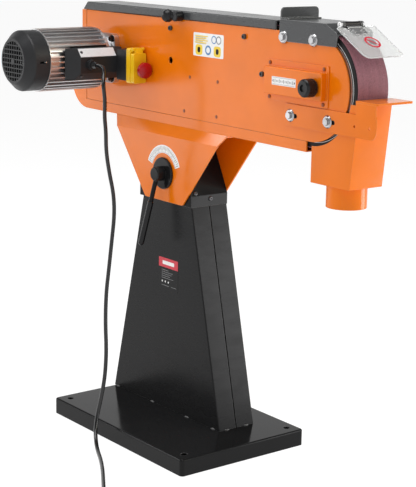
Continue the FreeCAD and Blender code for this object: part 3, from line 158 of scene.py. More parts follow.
# ---------------------------------------------------------------- materials
MIX_COLOURS_IN, MIX_COLOUR_OUT = (6, 7), 2     # the Mix node's colour sockets
EDGE_DOT = (0.98, 0.80)                        # from flat to sharp, as rounded normal . true one


class Recipe:
    """Adds nodes to one material and joins them up. Texture scales are per metre."""

    def __init__(self, name):
        self.material = bpy.data.materials.new(name)
        self.material.use_nodes = True
        self.tree = self.material.node_tree
        self.shader = self.tree.nodes["Principled BSDF"]
        self.place = self.add("ShaderNodeTexCoord").outputs["Object"]

    def add(self, kind, **values):
        """New node of a kind, with its own properties set."""
        node = self.tree.nodes.new(kind)
        for key, value in values.items():
            setattr(node, key, value)
        return node

    def link(self, output, target):
        self.tree.links.new(output, target)

    def set(self, **values):
        """Sets constants on the shader's own sockets."""
        for key, value in values.items():
            self.shader.inputs[key.replace("_", " ")].default_value = value

    def stretched(self, scale):
        """Object coordinates scaled by axis, for grain with a direction."""
        node = self.add("ShaderNodeMapping")
        node.inputs["Scale"].default_value = scale
        self.link(self.place, node.inputs["Vector"])
        return node.outputs["Vector"]

    def noise(self, scale, detail, rough=0.5, vector=None):
        """Noise from 0 to 1 over the object's coordinates, or over vector."""
        node = self.add("ShaderNodeTexNoise")
        node.inputs["Scale"].default_value = scale
        node.inputs["Detail"].default_value = detail
        node.inputs["Roughness"].default_value = rough
        self.link(vector or self.place, node.inputs["Vector"])
        return node.outputs["Fac"]

    def cells(self, scale):
        """Distance to the nearest of randomly placed points, for grains and pits."""
        node = self.add("ShaderNodeTexVoronoi", feature="F1")
        node.inputs["Scale"].default_value = scale
        self.link(self.place, node.inputs["Vector"])
        return node.outputs["Distance"]

    def spread(self, value, low, high, to_low=0.0, to_high=1.0):
        """Maps the range low to high onto to_low to to_high, with the ends held."""
        node = self.add("ShaderNodeMapRange")
        for key, number in (
            ("From Min", low), ("From Max", high), ("To Min", to_low), ("To Max", to_high),
        ):
            node.inputs[key].default_value = number
        self.link(value, node.inputs["Value"])
        return node.outputs["Result"]

    def side_of(self, axis, sign, limit):
        """1 where the coordinate on the axis, times sign, is above limit."""
        split = self.add("ShaderNodeSeparateXYZ")
        self.link(self.place, split.inputs[0])
        return self.math("GREATER_THAN", self.math("MULTIPLY", split.outputs[axis], sign), limit)

    def math(self, operation, a, b):
        """Math node on two outputs or numbers."""
        node = self.add("ShaderNodeMath", operation=operation)
        for socket, value in zip(node.inputs, (a, b)):
            if isinstance(value, (int, float)):
                socket.default_value = value
            else:
                self.link(value, socket)
        return node.outputs["Value"]

    def blend(self, factor, a, b):
        """Colour a where factor is 0, colour b where it is 1; each is RGB or an output."""
        node = self.add("ShaderNodeMix", data_type="RGBA", blend_type="MIX")
        self.link(factor, node.inputs["Factor"])
        for index, value in zip(MIX_COLOURS_IN, (a, b)):
            if isinstance(value, tuple):
                node.inputs[index].default_value = (*value, 1)
            else:
                self.link(value, node.inputs[index])
        return node.outputs[MIX_COLOUR_OUT]

    def bump(self, height, strength, distance, before=None):
        """Normal bumped by height, on top of the normal before."""
        node = self.add("ShaderNodeBump")
        node.inputs["Strength"].default_value = strength
        node.inputs["Distance"].default_value = distance
        self.link(height, node.inputs["Height"])
        if before is not None:
            self.link(before, node.inputs["Normal"])
        return node.outputs["Normal"]

    def edges(self, radius):
        """The normal rounded over radius, and a mask that is 1 at sharp edges."""
        bevel = self.add("ShaderNodeBevel", samples=6)
        bevel.inputs["Radius"].default_value = radius
        flat = self.add("ShaderNodeNewGeometry")
        dot = self.add("ShaderNodeVectorMath", operation="DOT_PRODUCT")
        self.link(bevel.outputs["Normal"], dot.inputs[0])
        self.link(flat.outputs["Normal"], dot.inputs[1])
        return bevel.outputs["Normal"], self.spread(dot.outputs["Value"], *EDGE_DOT)

    def colour(self, output):
        self.link(output, self.shader.inputs["Base Color"])

    def rough(self, output):
        self.link(output, self.shader.inputs["Roughness"])

    def normal(self, output):
        self.link(output, self.shader.inputs["Normal"])


def shade(colour, factor):
    """Colour times factor, held at 1."""
    return tuple(min(1.0, c * factor) for c in colour)


def powder_coat(name, colour, rough, peel, wear_and_highlight, specular, cell=900.0, rim_wear_and_highlight=0.0):
    """Baked powder paint: orange peel, faint clouding, dulled streaks, edges rubbed pale in
    patches, and a pale line along every sharp edge that stands for thin powder there and is partly
    a painted highlight.
    """
    r = Recipe(name)
    cloud = r.noise(9.0, 3.0)
    base = r.blend(r.spread(cloud, 0.3, 0.7), shade(colour, 0.93), shade(colour, 1.05))
    speck = r.spread(r.noise(2400.0, 1.0), 0.62, 0.75)
    base = r.blend(r.math("MULTIPLY", speck, 0.10), base, shade(colour, 1.5))
    soft, edge = r.edges(0.0014)
    rub = r.math("MULTIPLY", edge, r.spread(r.noise(130.0, 4.0, 0.65), 0.47, 0.66))
    base = r.blend(r.math("MULTIPLY", rub, 0.35), base, wear_and_highlight)
    # Pale line along every sharp edge in the worn colour: thin powder on the edge, and a painted
    # highlight.
    base = r.blend(r.math("MULTIPLY", edge, rim_wear_and_highlight), base, wear_and_highlight)
    r.colour(base)
    streak = r.noise(16.0, 5.0, 0.6, r.stretched((1, 1, 3)))
    r.rough(r.spread(streak, 0.25, 0.75, rough - 0.05, rough + 0.07))
    grain = r.math("ADD", r.noise(cell, 2.0), r.math("MULTIPLY", r.noise(cell / 4, 2.0), 0.6))
    r.normal(r.bump(grain, peel, 0.0004, soft))
    r.set(Specular_IOR_Level=specular)
    return r.material


# Near-black: the finish of the black socket screws and the hinge barrel, and painted shade on the
# bolts by the motor.
DARK_FINISH_AND_SHADE = (0.045, 0.043, 0.043)
GRIME = (0.16, 0.15, 0.15)


def metal(
    name, colour, rough, grain=(1, 1, 1), scale=260.0, depth=0.15,
    stain=GRIME, stain_amount=0.25, metallic=1.0, dark=None,
):
    """Bare metal: brushed grain, worn gloss, some grime, and a near-black colour where dark(recipe)
    is 1, which on the bolts by the motor is painted shade.
    """
    r = Recipe(name)
    lines = r.noise(scale, 4.0, 0.65, r.stretched(grain))
    patch = r.noise(28.0, 4.0, 0.6)
    base = r.blend(r.spread(lines, 0.3, 0.7), shade(colour, 0.86), shade(colour, 1.06))
    base = r.blend(r.math("MULTIPLY", r.spread(patch, 0.5, 0.78), stain_amount), base, stain)
    if dark:
        base = r.blend(dark(r), base, DARK_FINISH_AND_SHADE)
    r.colour(base)
    brushed = r.spread(lines, 0.2, 0.8, rough - 0.05, rough + 0.08)
    r.rough(r.math("ADD", brushed, r.spread(patch, 0.5, 0.8, 0.0, 0.1)))
    soft, _ = r.edges(0.0005)
    r.normal(r.bump(lines, depth, 0.0002, soft))
    r.set(Metallic=metallic)
    return r.material


def moulded(name, colour, rough, texture=0.35, coat=0.0, specular=0.5):
    """Moulded plastic: fine spark-eroded texture, faint clouding and paler scuffs on its edges."""
    r = Recipe(name)
    pits = r.cells(1500.0)
    cloud = r.noise(22.0, 3.0)
    base = r.blend(r.spread(cloud, 0.3, 0.7), shade(colour, 0.9), shade(colour, 1.1))
    soft, edge = r.edges(0.0008)
    mark = r.math("MULTIPLY", edge, r.spread(r.noise(170.0, 4.0), 0.45, 0.7))
    scuffed = tuple(min(1.0, c * 1.3 + 0.025) for c in colour)
    base = r.blend(r.math("MULTIPLY", mark, 0.3), base, scuffed)
    r.colour(base)
    r.rough(r.spread(r.noise(60.0, 4.0, 0.6), 0.3, 0.7, rough - 0.05, rough + 0.08))
    r.normal(r.bump(pits, texture, 0.0002, soft))
    r.set(Coat_Weight=coat, Coat_Roughness=0.08, Specular_IOR_Level=specular)
    return r.material


def rubber(name, colour, rough, specular=0.5, grain=0.3):
    """Rubber or graphite cloth: fine grain and a pale bloom in patches."""
    r = Recipe(name)
    fine = r.noise(1300.0, 3.0, 0.7)
    bloom = r.spread(r.noise(35.0, 4.0, 0.6), 0.5, 0.8)
    base = r.blend(r.math("MULTIPLY", bloom, 0.30), colour, tuple(c * 1.6 + 0.01 for c in colour))
    r.colour(base)
    r.rough(r.spread(bloom, 0.0, 1.0, rough, rough + 0.12))
    soft, _ = r.edges(0.0008)
    r.normal(r.bump(fine, grain, 0.0002, soft))
    r.set(Specular_IOR_Level=specular)
    return r.material


def abrasive(name, grit, bond):
    """Coated abrasive: fine grit in a dark bond, with faint roller stripes along the belt."""
    r = Recipe(name)
    grain = r.cells(1100.0)
    spark = r.spread(r.noise(2600.0, 2.0), 0.58, 0.72)
    base = r.blend(r.spread(grain, 0.15, 0.75), grit, bond)
    stripe = r.noise(55.0, 3.0, 0.6, r.stretched((0.1, 4.0, 0.1)))
    base = r.blend(r.spread(stripe, 0.35, 0.7, 0.0, 0.22), base, shade(grit, 1.35))
    base = r.blend(r.math("MULTIPLY", spark, 0.35), base, (0.62, 0.52, 0.55))
    r.colour(base)
    r.rough(r.spread(grain, 0.1, 0.8, 0.55, 0.8))
    r.normal(r.bump(grain, 0.55, 0.0005))
    return r.material


def clear_sheet(name):
    """Clear polycarbonate with fine wipe scratches and a little dust."""
    r = Recipe(name)
    wipe = r.spread(r.noise(90.0, 6.0, 0.7, r.stretched((6, 0.5, 1))), 0.55, 0.8)
    r.rough(r.spread(wipe, 0.0, 1.0, 0.06, 0.20))
    r.colour(r.blend(r.math("MULTIPLY", wipe, 0.4), (0.93, 0.94, 0.94), (0.82, 0.83, 0.84)))
    r.set(Transmission_Weight=0.70, IOR=1.49, Alpha=1.0)
    return r.material


def screw_mask(r):
    """1 on the black socket screws of the side plate, 0 on its rivets and painted screws."""
    lone = r.math("MULTIPLY", r.side_of("Z", 1, 0.785), r.side_of("Z", -1, -0.812))
    return r.math("MAXIMUM", r.side_of("Z", 1, 0.84), lone)


def hinge_mask(r):
    """1 on the shield hinge's barrel, 0 on its leaf."""
    return r.side_of("X", -1, -0.4655)


def motor_shade_mask(r):
    """1 on the bolts behind the middle of the arm, by the motor, which are painted near-black as
    painted shade; 0 on those by the wheel.
    """
    return r.side_of("X", -1, 0.15)


ORANGE = (0.74, 0.160, 0.0010)
BLACK = (0.009, 0.009, 0.0095)
GREY = (0.040, 0.042, 0.044)
# Worn black paint, also used as the painted highlight along the black paint's edges.
BLACK_WORN_AND_HIGHLIGHT = (0.20, 0.20, 0.20)
MATERIALS = {
    "orange_paint": powder_coat(
        "orange_paint", ORANGE, 0.15, 0.035, (0.90, 0.42, 0.16), specular=0.27, rim_wear_and_highlight=0.35,
    ),
    "black_paint": powder_coat(
        "black_paint", BLACK, 0.11, 0.035, BLACK_WORN_AND_HIGHLIGHT, specular=0.12, rim_wear_and_highlight=0.7,
    ),
    "grey_paint": powder_coat(
        "grey_paint", GREY, 0.27, 0.14, (0.42, 0.42, 0.42), cell=1300.0, specular=0.42, rim_wear_and_highlight=0.9,
    ),
    # The bolts by the motor are painted near-black here, as painted shade.
    "bolt_chrome": metal(
        "bolt_chrome", (0.46, 0.46, 0.47), 0.20, depth=0.05, stain_amount=0.3, dark=motor_shade_mask,
    ),
    "bolt_chrome_light": metal(
        "bolt_chrome_light", (0.85, 0.85, 0.85), 0.2, depth=0.05, stain_amount=0.05,
    ),
    "weld": powder_coat("weld", (0.03, 0.03, 0.031), 0.22, 0.2, (0.3, 0.3, 0.3), specular=0.9),
    "black_screw": metal("black_screw", (0.10, 0.10, 0.105), 0.42, depth=0.1),
    "panel_screw": metal(
        "panel_screw", (0.24, 0.050, 0.003), 0.3, depth=0.1, stain=(0.06, 0.015, 0.002),
        metallic=0.1, dark=screw_mask,
    ),
    "column_paint": powder_coat(
        "column_paint", BLACK, 0.26, 0.05, BLACK_WORN_AND_HIGHLIGHT, specular=0.13, rim_wear_and_highlight=0.8,
    ),
    "head_paint": powder_coat(
        "head_paint", BLACK, 0.16, 0.05, BLACK_WORN_AND_HIGHLIGHT, specular=0.10, rim_wear_and_highlight=0.8,
    ),
    "plain_steel": metal("plain_steel", (0.50, 0.50, 0.50), 0.34, (1, 8, 1)),
    "hinge_steel": metal("hinge_steel", (0.50, 0.50, 0.50), 0.34, (1, 8, 1), dark=hinge_mask),
    "cast_aluminium": metal("cast_aluminium", (0.64, 0.64, 0.65), 0.30, (6, 0.6, 6), 420.0, 0.2),
    "drum_iron": metal("drum_iron", (0.26, 0.26, 0.27), 0.42, (1, 0.5, 1), 500.0),
    "strip_metal": metal(
        "strip_metal", (0.74, 0.75, 0.76), 0.42, (8, 0.5, 8), 300.0, 0.1,
        stain_amount=0.1, metallic=0.25,
    ),
    "copper_winding": metal("copper_winding", (0.45, 0.22, 0.12), 0.45, (1, 20, 1), 300.0, 0.4),
    "plug_brass": metal("plug_brass", (0.70, 0.55, 0.28), 0.25, (10, 10, 1)),
    "rubber_tyre": rubber("rubber_tyre", (0.008, 0.008, 0.0085), 0.45, 0.16),
    "cord_rubber": rubber("cord_rubber", (0.006, 0.006, 0.0065), 0.17, 0.55, 0.12),
    "abrasive": abrasive("abrasive", (0.330, 0.120, 0.150), (0.120, 0.040, 0.055)),
    "graphite": rubber("graphite", (0.035, 0.035, 0.038), 0.6),
    "clear_sheet": clear_sheet("clear_sheet"),
    "black_plastic": moulded("black_plastic", (0.015, 0.0155, 0.017), 0.42, specular=0.28),
    "knob_plastic": moulded(
        "knob_plastic", (0.008, 0.008, 0.009), 0.26, 0.12, coat=0.05, specular=0.25,
    ),
    "yellow_plastic": moulded("yellow_plastic", (0.80, 0.47, 0.006), 0.32, 0.12, coat=0.1),
    "red_plastic": moulded(
        "red_plastic", (0.36, 0.002, 0.006), 0.28, 0.12, coat=0.05, specular=0.35,
    ),
    "green_plastic": moulded("green_plastic", (0.02, 0.30, 0.06), 0.30, 0.12, coat=0.3),
}
SPECIAL = {
    "column_near_half": "column_paint", "column_far_half": "column_paint",
    "column_head": "head_paint", "panel_screws": "panel_screw",
    "shield_hinge": "hinge_steel", "hinge_pins": "bolt_chrome_light",
}


def dress_nodes():
    """Every CAD node gets a procedural material: its special one, or that of its record slot."""
    for row in frame["record"]["subparts"]:
        node = NODES[row["node"]]
        node.data.materials.clear()
        node.data.materials.append(MATERIALS[SPECIAL.get(row["node"], row["material_slot"])])


dress_nodes()


# ---------------------------------------------------------------- lead
def spline_points(points, name):
    """Points read from the NURBS spline that has these control points."""
    curve = bpy.data.curves.new(name, "CURVE")
    curve.dimensions = "3D"
    spline = curve.splines.new("NURBS")
    spline.points.add(len(points) - 1)
    for target, point in zip(spline.points, points):
        target.co = (*point, 1)
    spline.order_u = 3
    spline.use_endpoint_u = True
    spline.resolution_u = 8
    obj = bpy.data.objects.new(name, curve)
    mesh = bpy.data.meshes.new_from_object(obj)
    found = [vertex.co.copy() for vertex in mesh.vertices]
    bpy.data.objects.remove(obj)
    return found


def tube(name, path, radius):
    """Round tube with closed ends and parallel-carried rings along a path."""
    sides = 20
    ahead = [(b - a).normalized() for a, b in zip(path, path[1:])]
    ways = [ahead[0]] + [(a + b).normalized() for a, b in zip(ahead, ahead[1:])] + [ahead[-1]]
    side = ways[0].orthogonal().normalized()
    verts, faces = [], []
    for index, (point, way) in enumerate(zip(path, ways)):
        side = (side - way * side.dot(way)).normalized()
        other = way.cross(side)
        for k in range(sides):
            angle = 2 * math.pi * k / sides
            verts.append(point + (side * math.cos(angle) + other * math.sin(angle)) * radius)
        if index:
            low = (index - 1) * sides
            for k in range(sides):
                n = (k + 1) % sides
                faces.append((low + k, low + n, low + sides + n, low + sides + k))
    faces.append(tuple(reversed(range(sides))))
    faces.append(tuple(range(len(verts) - sides, len(verts))))
    mesh = bpy.data.meshes.new(name)
    mesh.from_pydata([tuple(v) for v in verts], [], faces)
    for face in mesh.polygons:
        face.use_smooth = len(face.vertices) == 4
    obj = bpy.data.objects.new(name, mesh)
    bpy.context.collection.objects.link(obj)
    return obj


CORD_R = 0.0042
# control points from the gland to the last one before the coil
LEAD = [
    (-0.174, -0.093, 0.780), (-0.1585, -0.093, 0.780), (-0.1365, -0.099, 0.776),
    (-0.1185, -0.113, 0.764), (-0.1065, -0.121, 0.7435), (-0.1015, -0.120, 0.7145),
    (-0.103, -0.1205, 0.6815), (-0.101, -0.118, 0.6505), (-0.103, -0.116, 0.607),
    (-0.104, -0.107, 0.560), (-0.099, -0.099, 0.515), (-0.093, -0.101, 0.469),
    (-0.086, -0.112, 0.419), (-0.076, -0.126, 0.360), (-0.067, -0.139, 0.310),
    (-0.056, -0.148, 0.250), (-0.047, -0.151, 0.190), (-0.039, -0.160, 0.134),
    (-0.035, -0.173, 0.090), (-0.030, -0.186, 0.056), (-0.018, -0.198, 0.030),
    (0.003, -0.210, 0.012), (0.031, -0.224, 0.0043), (0.076, -0.246, 0.0043),
    (0.128, -0.276, 0.0043), (0.184, -0.312, 0.0043), (0.238, -0.346, 0.0043),
    (0.286, -0.373, 0.0043),
]
COIL_R = 0.046
COIL_TURNS = 3
COIL_STEPS = 18                                 # control points in each turn
COIL_START = Vector((0.333, -0.404, 0.0043))
COIL_WAY = Vector((0.8348, -0.5506, 0.0))       # the lead's direction where the coil starts


def coil_points():
    """Stacked turns; each rises one diameter near its end, and the last stops by the plug."""
    side = Vector((-COIL_WAY.y, COIL_WAY.x, 0))
    centre = COIL_START + side * COIL_R
    reach = COIL_R / math.cos(math.pi / COIL_STEPS)
    rising = 4      # steps in which a turn rises
    last = COIL_TURNS * COIL_STEPS - 3
    points = []
    for k in range(last + 1):
        angle = 2 * math.pi * k / COIL_STEPS
        turn, part = divmod(k, COIL_STEPS)
        rise = max(0.0, (part - COIL_STEPS + rising) / rising)
        level = turn + rise if turn < COIL_TURNS - 1 else turn
        height = COIL_START.z + 2 * CORD_R * level
        spot = centre - side * math.cos(angle) * reach + COIL_WAY * math.sin(angle) * reach
        points.append(Vector((spot.x, spot.y, height)))
    return points


def make_lead():
    """The mains lead from the gland to the plug, as one tube that stands for both CAD solids."""
    control = LEAD + [tuple(p) for p in coil_points()]
    path = spline_points(control, "lead_line")
    lead = tube("mains_lead", path, CORD_R)
    lead.data.materials.append(MATERIALS["cord_rubber"])
    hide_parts("cord_lead", "cord_coil")
    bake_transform(lead)


make_lead()


# ---------------------------------------------------------------- printed labels
def printed(name, colour, rough=0.32, specular=0.5):
    """Vinyl label stock: faint mottling, a slight orange peel and dulled patches."""
    r = Recipe(name)
    cloud = r.noise(60.0, 3.0)
    r.colour(r.blend(r.spread(cloud, 0.3, 0.7), shade(colour, 0.92), shade(colour, 1.04)))
    r.rough(r.spread(r.noise(120.0, 4.0, 0.6), 0.3, 0.7, rough - 0.06, rough + 0.1))
    r.normal(r.bump(r.noise(900.0, 2.0), 0.06, 0.0002))
    r.set(Specular_IOR_Level=specular)
    return r.material


PRINT = {
    "white": printed("print_white", (0.78, 0.78, 0.77)),
    "red": printed("print_red", (0.55, 0.010, 0.030)),
    "yellow": printed("print_yellow", (0.80, 0.55, 0.03)),
    "blue": printed("print_blue", (0.07, 0.20, 0.42)),
    "grey": printed("print_grey", (0.17, 0.17, 0.175)),
    "black": printed("print_black", (0.008, 0.008, 0.0085), 0.22, 0.14),
}
INKS = list(PRINT)

# Heights out from the surface that a card lies on. A card's back is sunk in it, so no gap shows,
# and each level of print stands a step higher than the one below.
CARD = (-0.0001, 0.0003)
BAND = (0.0003, 0.0004)
MARK_BACK, MARK_FRONT, LEVEL = 0.0002, 0.0003, 0.0001

# Y of the near faces that carry labels.
COLUMN_FACE = 0.0023
YOKE_FACE = -0.0027
PLATE_FACE = 0.0075
COVER_FACE = -0.0070
BRACKET_FACE = 0.0071
RIM_FACE = 0.0120

# X and Z of the axes along Y that ring-shaped labels are centred on.
TILT_AXIS = (-0.052, 0.558)
WHEEL_AXIS = (0.406, 0.785)


def add_piece(name, mesh, materials, body):
    """Makes an object of a bmesh, riding on a body."""
    bmesh.ops.recalc_face_normals(mesh, faces=mesh.faces)
    data = bpy.data.meshes.new(name)
    mesh.to_mesh(data)
    mesh.free()
    for material in materials:
        data.materials.append(material)
    obj = bpy.data.objects.new(name, data)
    bpy.context.collection.objects.link(obj)
    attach(obj, body)


class Label:
    """Thin card built from closed prisms; place maps (across, up, out) in metres to a point."""

    def __init__(self, place):
        self.place = place
        self.mesh = bmesh.new()

    def prism(self, outline, ink, low, high):
        """Closed prism over a counter-clockwise outline."""
        under = [self.mesh.verts.new(self.place(u, v, low)) for u, v in outline]
        over = [self.mesh.verts.new(self.place(u, v, high)) for u, v in outline]
        faces = [self.mesh.faces.new(over), self.mesh.faces.new(list(reversed(under)))]
        for i in range(len(outline)):
            k = (i + 1) % len(outline)
            faces.append(self.mesh.faces.new((under[i], under[k], over[k], over[i])))
        for face in faces:
            face.material_index = INKS.index(ink)

    def card(self, outline, ink):
        """Background stock, its back sunk in the surface."""
        self.prism(outline, ink, *CARD)

    def mark(self, outline, ink, level=1):
        """Print on a card; a higher level lies over a lower one."""
        self.prism(outline, ink, MARK_BACK + LEVEL * level, MARK_FRONT + LEVEL * level)

    def band(self, centre, inner, outer, first, last, ink, heights=BAND, steps=40):
        """Part of a ring from the angle first to the angle last, in degrees; a full ring closes."""
        whole = abs(last - first) >= 360
        rings = []
        for k in range(steps if whole else steps + 1):
            angle = math.radians(first + (last - first) * k / steps)
            spots = [
                (centre[0] + r * math.cos(angle), centre[1] + r * math.sin(angle))
                for r in (inner, outer)
            ]
            rings.append([
                self.mesh.verts.new(self.place(u, v, w)) for w in heights for u, v in spots
            ])
        faces = []
        for a, b in zip(rings, rings[1:] + (rings[:1] if whole else [])):
            for i, k in ((0, 1), (1, 3), (3, 2), (2, 0)):
                faces.append(self.mesh.faces.new((a[i], a[k], b[k], b[i])))
        if not whole:
            for end in (rings[0], list(reversed(rings[-1]))):
                faces.append(self.mesh.faces.new((end[0], end[2], end[3], end[1])))
        for face in faces:
            face.material_index = INKS.index(ink)

    def finish(self, name, body):
        """Makes the label a piece that rides on a body."""
        add_piece(name, self.mesh, PRINT.values(), body)


def rounded(u0, u1, v0, v1, r):
    """Outline of a rectangle with rounded corners, counter-clockwise."""
    steps = 4
    points = []
    for u, v, start in (
        (u1 - r, v0 + r, -90), (u1 - r, v1 - r, 0), (u0 + r, v1 - r, 90), (u0 + r, v0 + r, 180),
    ):
        for k in range(steps + 1):
            angle = math.radians(start + 90 * k / steps)
            points.append((u + r * math.cos(angle), v + r * math.sin(angle)))
    return points


def circle(u, v, r, steps=28):
    """Outline of a disc, counter-clockwise."""
    angles = [2 * math.pi * k / steps for k in range(steps)]
    return [(u + r * math.cos(angle), v + r * math.sin(angle)) for angle in angles]


def near_face(y):
    """Place function for a label on a face that looks towards -Y."""
    return lambda u, v, w: (u, y - w, v)


def column_label():
    """Dark plate with a red head, rows of plain bars and three dots."""
    label = Label(near_face(COLUMN_FACE))
    label.card(rounded(-0.072, -0.002, 0.303, 0.373, 0.0015), "black")
    label.mark(rounded(-0.0715, -0.0025, 0.3515, 0.3725, 0.001), "red")
    label.mark(rounded(-0.058, -0.016, 0.358, 0.366, 0.0015), "white", 2)
    left, pitch = -0.061, 0.0044
    for row, width in enumerate((0.024, 0.040, 0.036, 0.030, 0.042)):
        top = 0.3460 - row * pitch
        label.mark(rounded(left, left + width, top - 0.0011, top, 0.0004), "grey")
    for u in (-0.0585, -0.0475, -0.0365):
        label.mark(circle(u, 0.3200, 0.0021, 16), "white")
    for u0, u1 in ((left, -0.034), (-0.026, -0.008)):
        label.mark(rounded(u0, u1, 0.3110, 0.3120, 0.0004), "grey")
    label.finish("column_label", "stand")


def tilt_scale():
    """Arc-shaped scale round the clamp disc, with longer ticks at every third step."""
    ticks, first, last = 28, 24, 156     # angles in degrees
    label = Label(near_face(YOKE_FACE))
    label.band(TILT_AXIS, 0.0435, 0.0605, 20, 160, "white", CARD)
    label.band(TILT_AXIS, 0.0450, 0.0456, 22, 158, "grey")
    for k in range(ticks):
        angle = first + k * (last - first) / (ticks - 1)
        inner = 0.0475 if k % 3 == 0 else 0.0505
        label.band(TILT_AXIS, inner, 0.0575, angle - 0.45, angle + 0.45, "black", steps=2)
    label.finish("tilt_scale", "arm")


def panel_card():
    """White card of plain coloured tiles, rows and rings on the side plate."""
    label = Label(near_face(PLATE_FACE))
    label.card(rounded(0.0325, 0.132, 0.8150, 0.8625, 0.003), "white")
    for u, ink in ((0.116, "grey"), (0.1005, "blue")):
        label.band((u, 0.8510), 0.0062, 0.0082, 0, 360, ink, steps=24)
    label.mark(circle(0.082, 0.829, 0.0098), "blue")
    label.mark(circle(0.082, 0.829, 0.0060, 20), "white", 2)
    pitch = 0.0044
    for row in range(4):
        v = 0.8572 - row * pitch
        label.mark(rounded(0.038, 0.080 - 0.004 * (row % 2), v - 0.0022, v, 0.0005), "yellow")
        end = 0.074 - 0.005 * (row % 3)
        label.mark(rounded(0.0405, end, v - 0.0034, v - 0.0027, 0.0002), "grey", 2)
    for u in (0.0400, 0.1005):
        label.mark(rounded(u, u + 0.023, 0.8175, 0.8385, 0.006), "yellow")
        label.mark(rounded(u + 0.007, u + 0.016, 0.8225, 0.8335, 0.003), "black", 2)
    label.finish("panel_card", "arm")


def tracking_strip():
    """Plain strip of ticks with an arrow head at each end, beside the tracking knob."""
    middle = 0.7905
    label = Label(near_face(COVER_FACE))
    label.card(rounded(0.3005, 0.3695, 0.7825, 0.7985, 0.0012), "white")
    for v in (0.7840, 0.7965):
        label.mark(rounded(0.3025, 0.3675, v, v + 0.0006, 0.0002), "grey")
    for k in range(13):
        u = 0.3100 + k * 0.0042
        half = 0.0034 if k % 3 == 0 else 0.0020
        label.mark(rounded(u - 0.0006, u + 0.0006, middle - half, middle + half, 0.0002), "black")
    for u, way in ((0.3045, -1), (0.3655, 1)):
        tip, back = u + way * 0.0022, u - way * 0.0010
        label.mark([(tip, middle), (back, 0.7937), (back, 0.7873)][::way], "black")
    label.finish("tracking_strip", "arm")


def shield_mark():
    """Red ring and bar with a grey middle on the clear shield."""
    slope, thickness = math.radians(30.8), 0.003
    run = Vector((math.cos(slope), 0, -math.sin(slope)))
    out = Vector((math.sin(slope), 0, math.cos(slope)))
    start = Vector((0.462, 0, 0.899)) + out * thickness
    label = Label(lambda u, v, w: start + run * u + Vector((0, v, 0)) + out * w)
    middle = (0.0500, 0.0545)
    label.band(middle, 0.0128, 0.0165, 0, 360, "red", CARD, steps=36)
    label.card(circle(*middle, 0.0072), "grey")
    half_length, half_width = 0.0132, 0.0014
    turn = math.radians(45)
    bar = [
        (-half_length, -half_width), (half_length, -half_width),
        (half_length, half_width), (-half_length, half_width),
    ]
    spun = [
        (middle[0] + u * math.cos(turn) - v * math.sin(turn),
         middle[1] + u * math.sin(turn) + v * math.cos(turn))
        for u, v in bar
    ]
    label.prism(spun, "red", 0.0002, 0.00045)
    label.finish("shield_mark", "shield")


def slot_shade_cards():
    """Painted shadow: a black card at the bottom of each slot of the rest's bracket, seen beside
    its bolt, where the slot is in shade.
    """
    for index, x in enumerate((0.343, 0.448)):
        label = Label(near_face(BRACKET_FACE))
        label.card(rounded(x - 0.0164, x + 0.0241, 0.7229, 0.7311, 0.0040), "black")
        label.finish("slot_liner_%d" % index, "rest")


def tyre_edge_highlight():
    """A thin white ring on the tyre's near face: the wheel's turned edge, drawn as a painted
    highlight round the tyre.
    """
    label = Label(near_face(RIM_FACE))
    label.band(WHEEL_AXIS, 0.1012, 0.1020, 0, 360, "white", CARD, steps=96)
    label.finish("tyre_edge_highlight", "contact_wheel")


# ---------------------------------------------------------------- screws and welds
# Heads turned about their axis, as (height, radius) pairs from the seat up.
PAN_HEAD = [(-0.0004, 0.0046), (0.0, 0.0050), (0.0014, 0.0050), (0.0026, 0.0040), (0.0030, 0.0026)]
SMALL_HEAD = [(-0.0004, 0.0030), (0.0, 0.0034), (0.0010, 0.0034), (0.0018, 0.0024)]
BRIGHT_HEAD = [(-0.006, 0.0016), (0.0, 0.0016), (0.0002, 0.0017), (0.0008, 0.0012)]


def join_rings(mesh, rings):
    """Closed skin over rings of vertices of equal count; returns the faces between the rings."""
    skin = []
    for a, b in zip(rings, rings[1:]):
        for k in range(len(a)):
            n = (k + 1) % len(a)
            skin.append(mesh.faces.new((a[k], a[n], b[n], b[k])))
    mesh.faces.new(list(reversed(rings[0])))
    mesh.faces.new(rings[-1])
    return skin


def turned_piece(name, profile, spot, way, body, material, sides=24, socket=0.0):
    """Lathe-turned fastener head; socket is the size across flats of a hex recess."""
    way = Vector(way).normalized()
    side = way.orthogonal().normalized()
    other = way.cross(side)
    spot = Vector(spot)
    mesh = bmesh.new()

    def ring(height, radius, hexagon=False):
        """Vertices at a height; a hexagon's radius is half of its size across flats."""
        found = []
        for k in range(sides):
            angle = 2 * math.pi * k / sides
            reach = radius
            if hexagon:
                reach = radius / math.cos((angle % (math.pi / 3)) - math.pi / 6)
            outward = side * math.cos(angle) + other * math.sin(angle)
            found.append(mesh.verts.new(spot + way * height + outward * reach))
        return found

    rings = [ring(height, radius) for height, radius in profile]
    if socket:
        top, floor = profile[-1][0], profile[-1][0] - socket * 0.55
        rings += [ring(top, socket / 2, True), ring(floor, socket / 2 * 0.97, True)]
    join_rings(mesh, rings)
    add_piece(name, mesh, [material], body)


def black_screw(name, profile, spot, way, body, socket):
    """Black socket head on a spot, facing way."""
    turned_piece(
        name, profile, spot, way, body, MATERIALS["black_screw"], socket=socket,
    )


def small_screws():
    """Pan heads on the column's head band, and the bright screw behind the fan cover's slot."""
    slope = (0.097, 0, 0.049)
    black_screw("head_screw_low", PAN_HEAD, (0.0420, 0.0520, 0.5125), (1, 0, 0), "stand", 0.003)
    black_screw("head_screw_high", PAN_HEAD, (0.0393, 0.0135, 0.5265), slope, "stand", 0.003)
    turned_piece(
        "cover_screw", BRIGHT_HEAD, (-0.2262, -0.1860, 0.7860), (1, 0, 0), "arm",
        MATERIALS["bolt_chrome_light"], sides=16,
    )


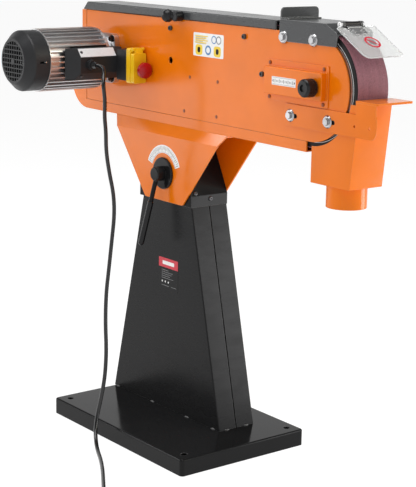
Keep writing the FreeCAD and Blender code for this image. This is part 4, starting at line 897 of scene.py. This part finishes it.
def box_screws():
    """Screw on the terminal box's lower bevel, and the dark rivet at its strip's near end."""
    low, high = (0.786, 0, -0.618), (0.785, 0, 0.620)
    black_screw("box_screw_low", SMALL_HEAD, (-0.2014, -0.1130, 0.7551), low, "arm", 0.002)
    black_screw("strip_rivet", SMALL_HEAD, (-0.2040, -0.1125, 0.8059), high, "arm", 0.002)


WELD_R = 0.0030
FOOT_Z = 0.0350           # top of the base, where the column stands
COLUMN_BACK = 0.0963
COLUMN_END = 0.1500


def weld_bead(name, middle, along, out_low, length):
    """Tack weld in a corner: a string of overlapping rounded ripples."""
    middle = Vector(middle)
    along = Vector(along).normalized()
    out = Vector(out_low).normalized()
    cross = along.cross(out)
    mesh = bmesh.new()
    steps, sides = 26, 12
    rings = []
    for i in range(steps + 1):
        t = i / steps
        bulge = math.sin(math.pi * min(max(t, 0.02), 0.98)) ** 0.45
        ripple = 1 + 0.12 * math.sin(t * math.pi * 9) + 0.04 * random.uniform(-1, 1)
        radius = WELD_R * bulge * ripple
        centre = middle + along * (t - 0.5) * length
        rings.append([
            mesh.verts.new(centre + (out * math.cos(a) + cross * math.sin(a)) * radius)
            for a in (2 * math.pi * k / sides for k in range(sides))
        ])
    for face in join_rings(mesh, rings):
        face.smooth = True
    add_piece(name, mesh, [MATERIALS["weld"]], "stand")


def column_welds():
    """Tack welds round the column's foot: four along each side and two across the front."""
    along_x, along_y = (1, 0, 0), (0, 1, 0)
    for index, x in enumerate((-0.2255, -0.0900, 0.0370, 0.1290)):
        near, far = (x, COLUMN_FACE, FOOT_Z), (x, COLUMN_BACK, FOOT_Z)
        weld_bead("foot_weld_near_%d" % index, near, along_x, (0, -1, 1), 0.014)
        weld_bead("foot_weld_far_%d" % index, far, along_x, (0, 1, 1), 0.014)
    for index, y in enumerate((0.024, 0.076)):
        end = (COLUMN_END, y, FOOT_Z)
        weld_bead("foot_weld_end_%d" % index, end, along_y, (1, 0, 1), 0.012)


column_label()
tilt_scale()
panel_card()
tracking_strip()
shield_mark()
small_screws()
slot_shade_cards()
tyre_edge_highlight()
box_screws()
column_welds()
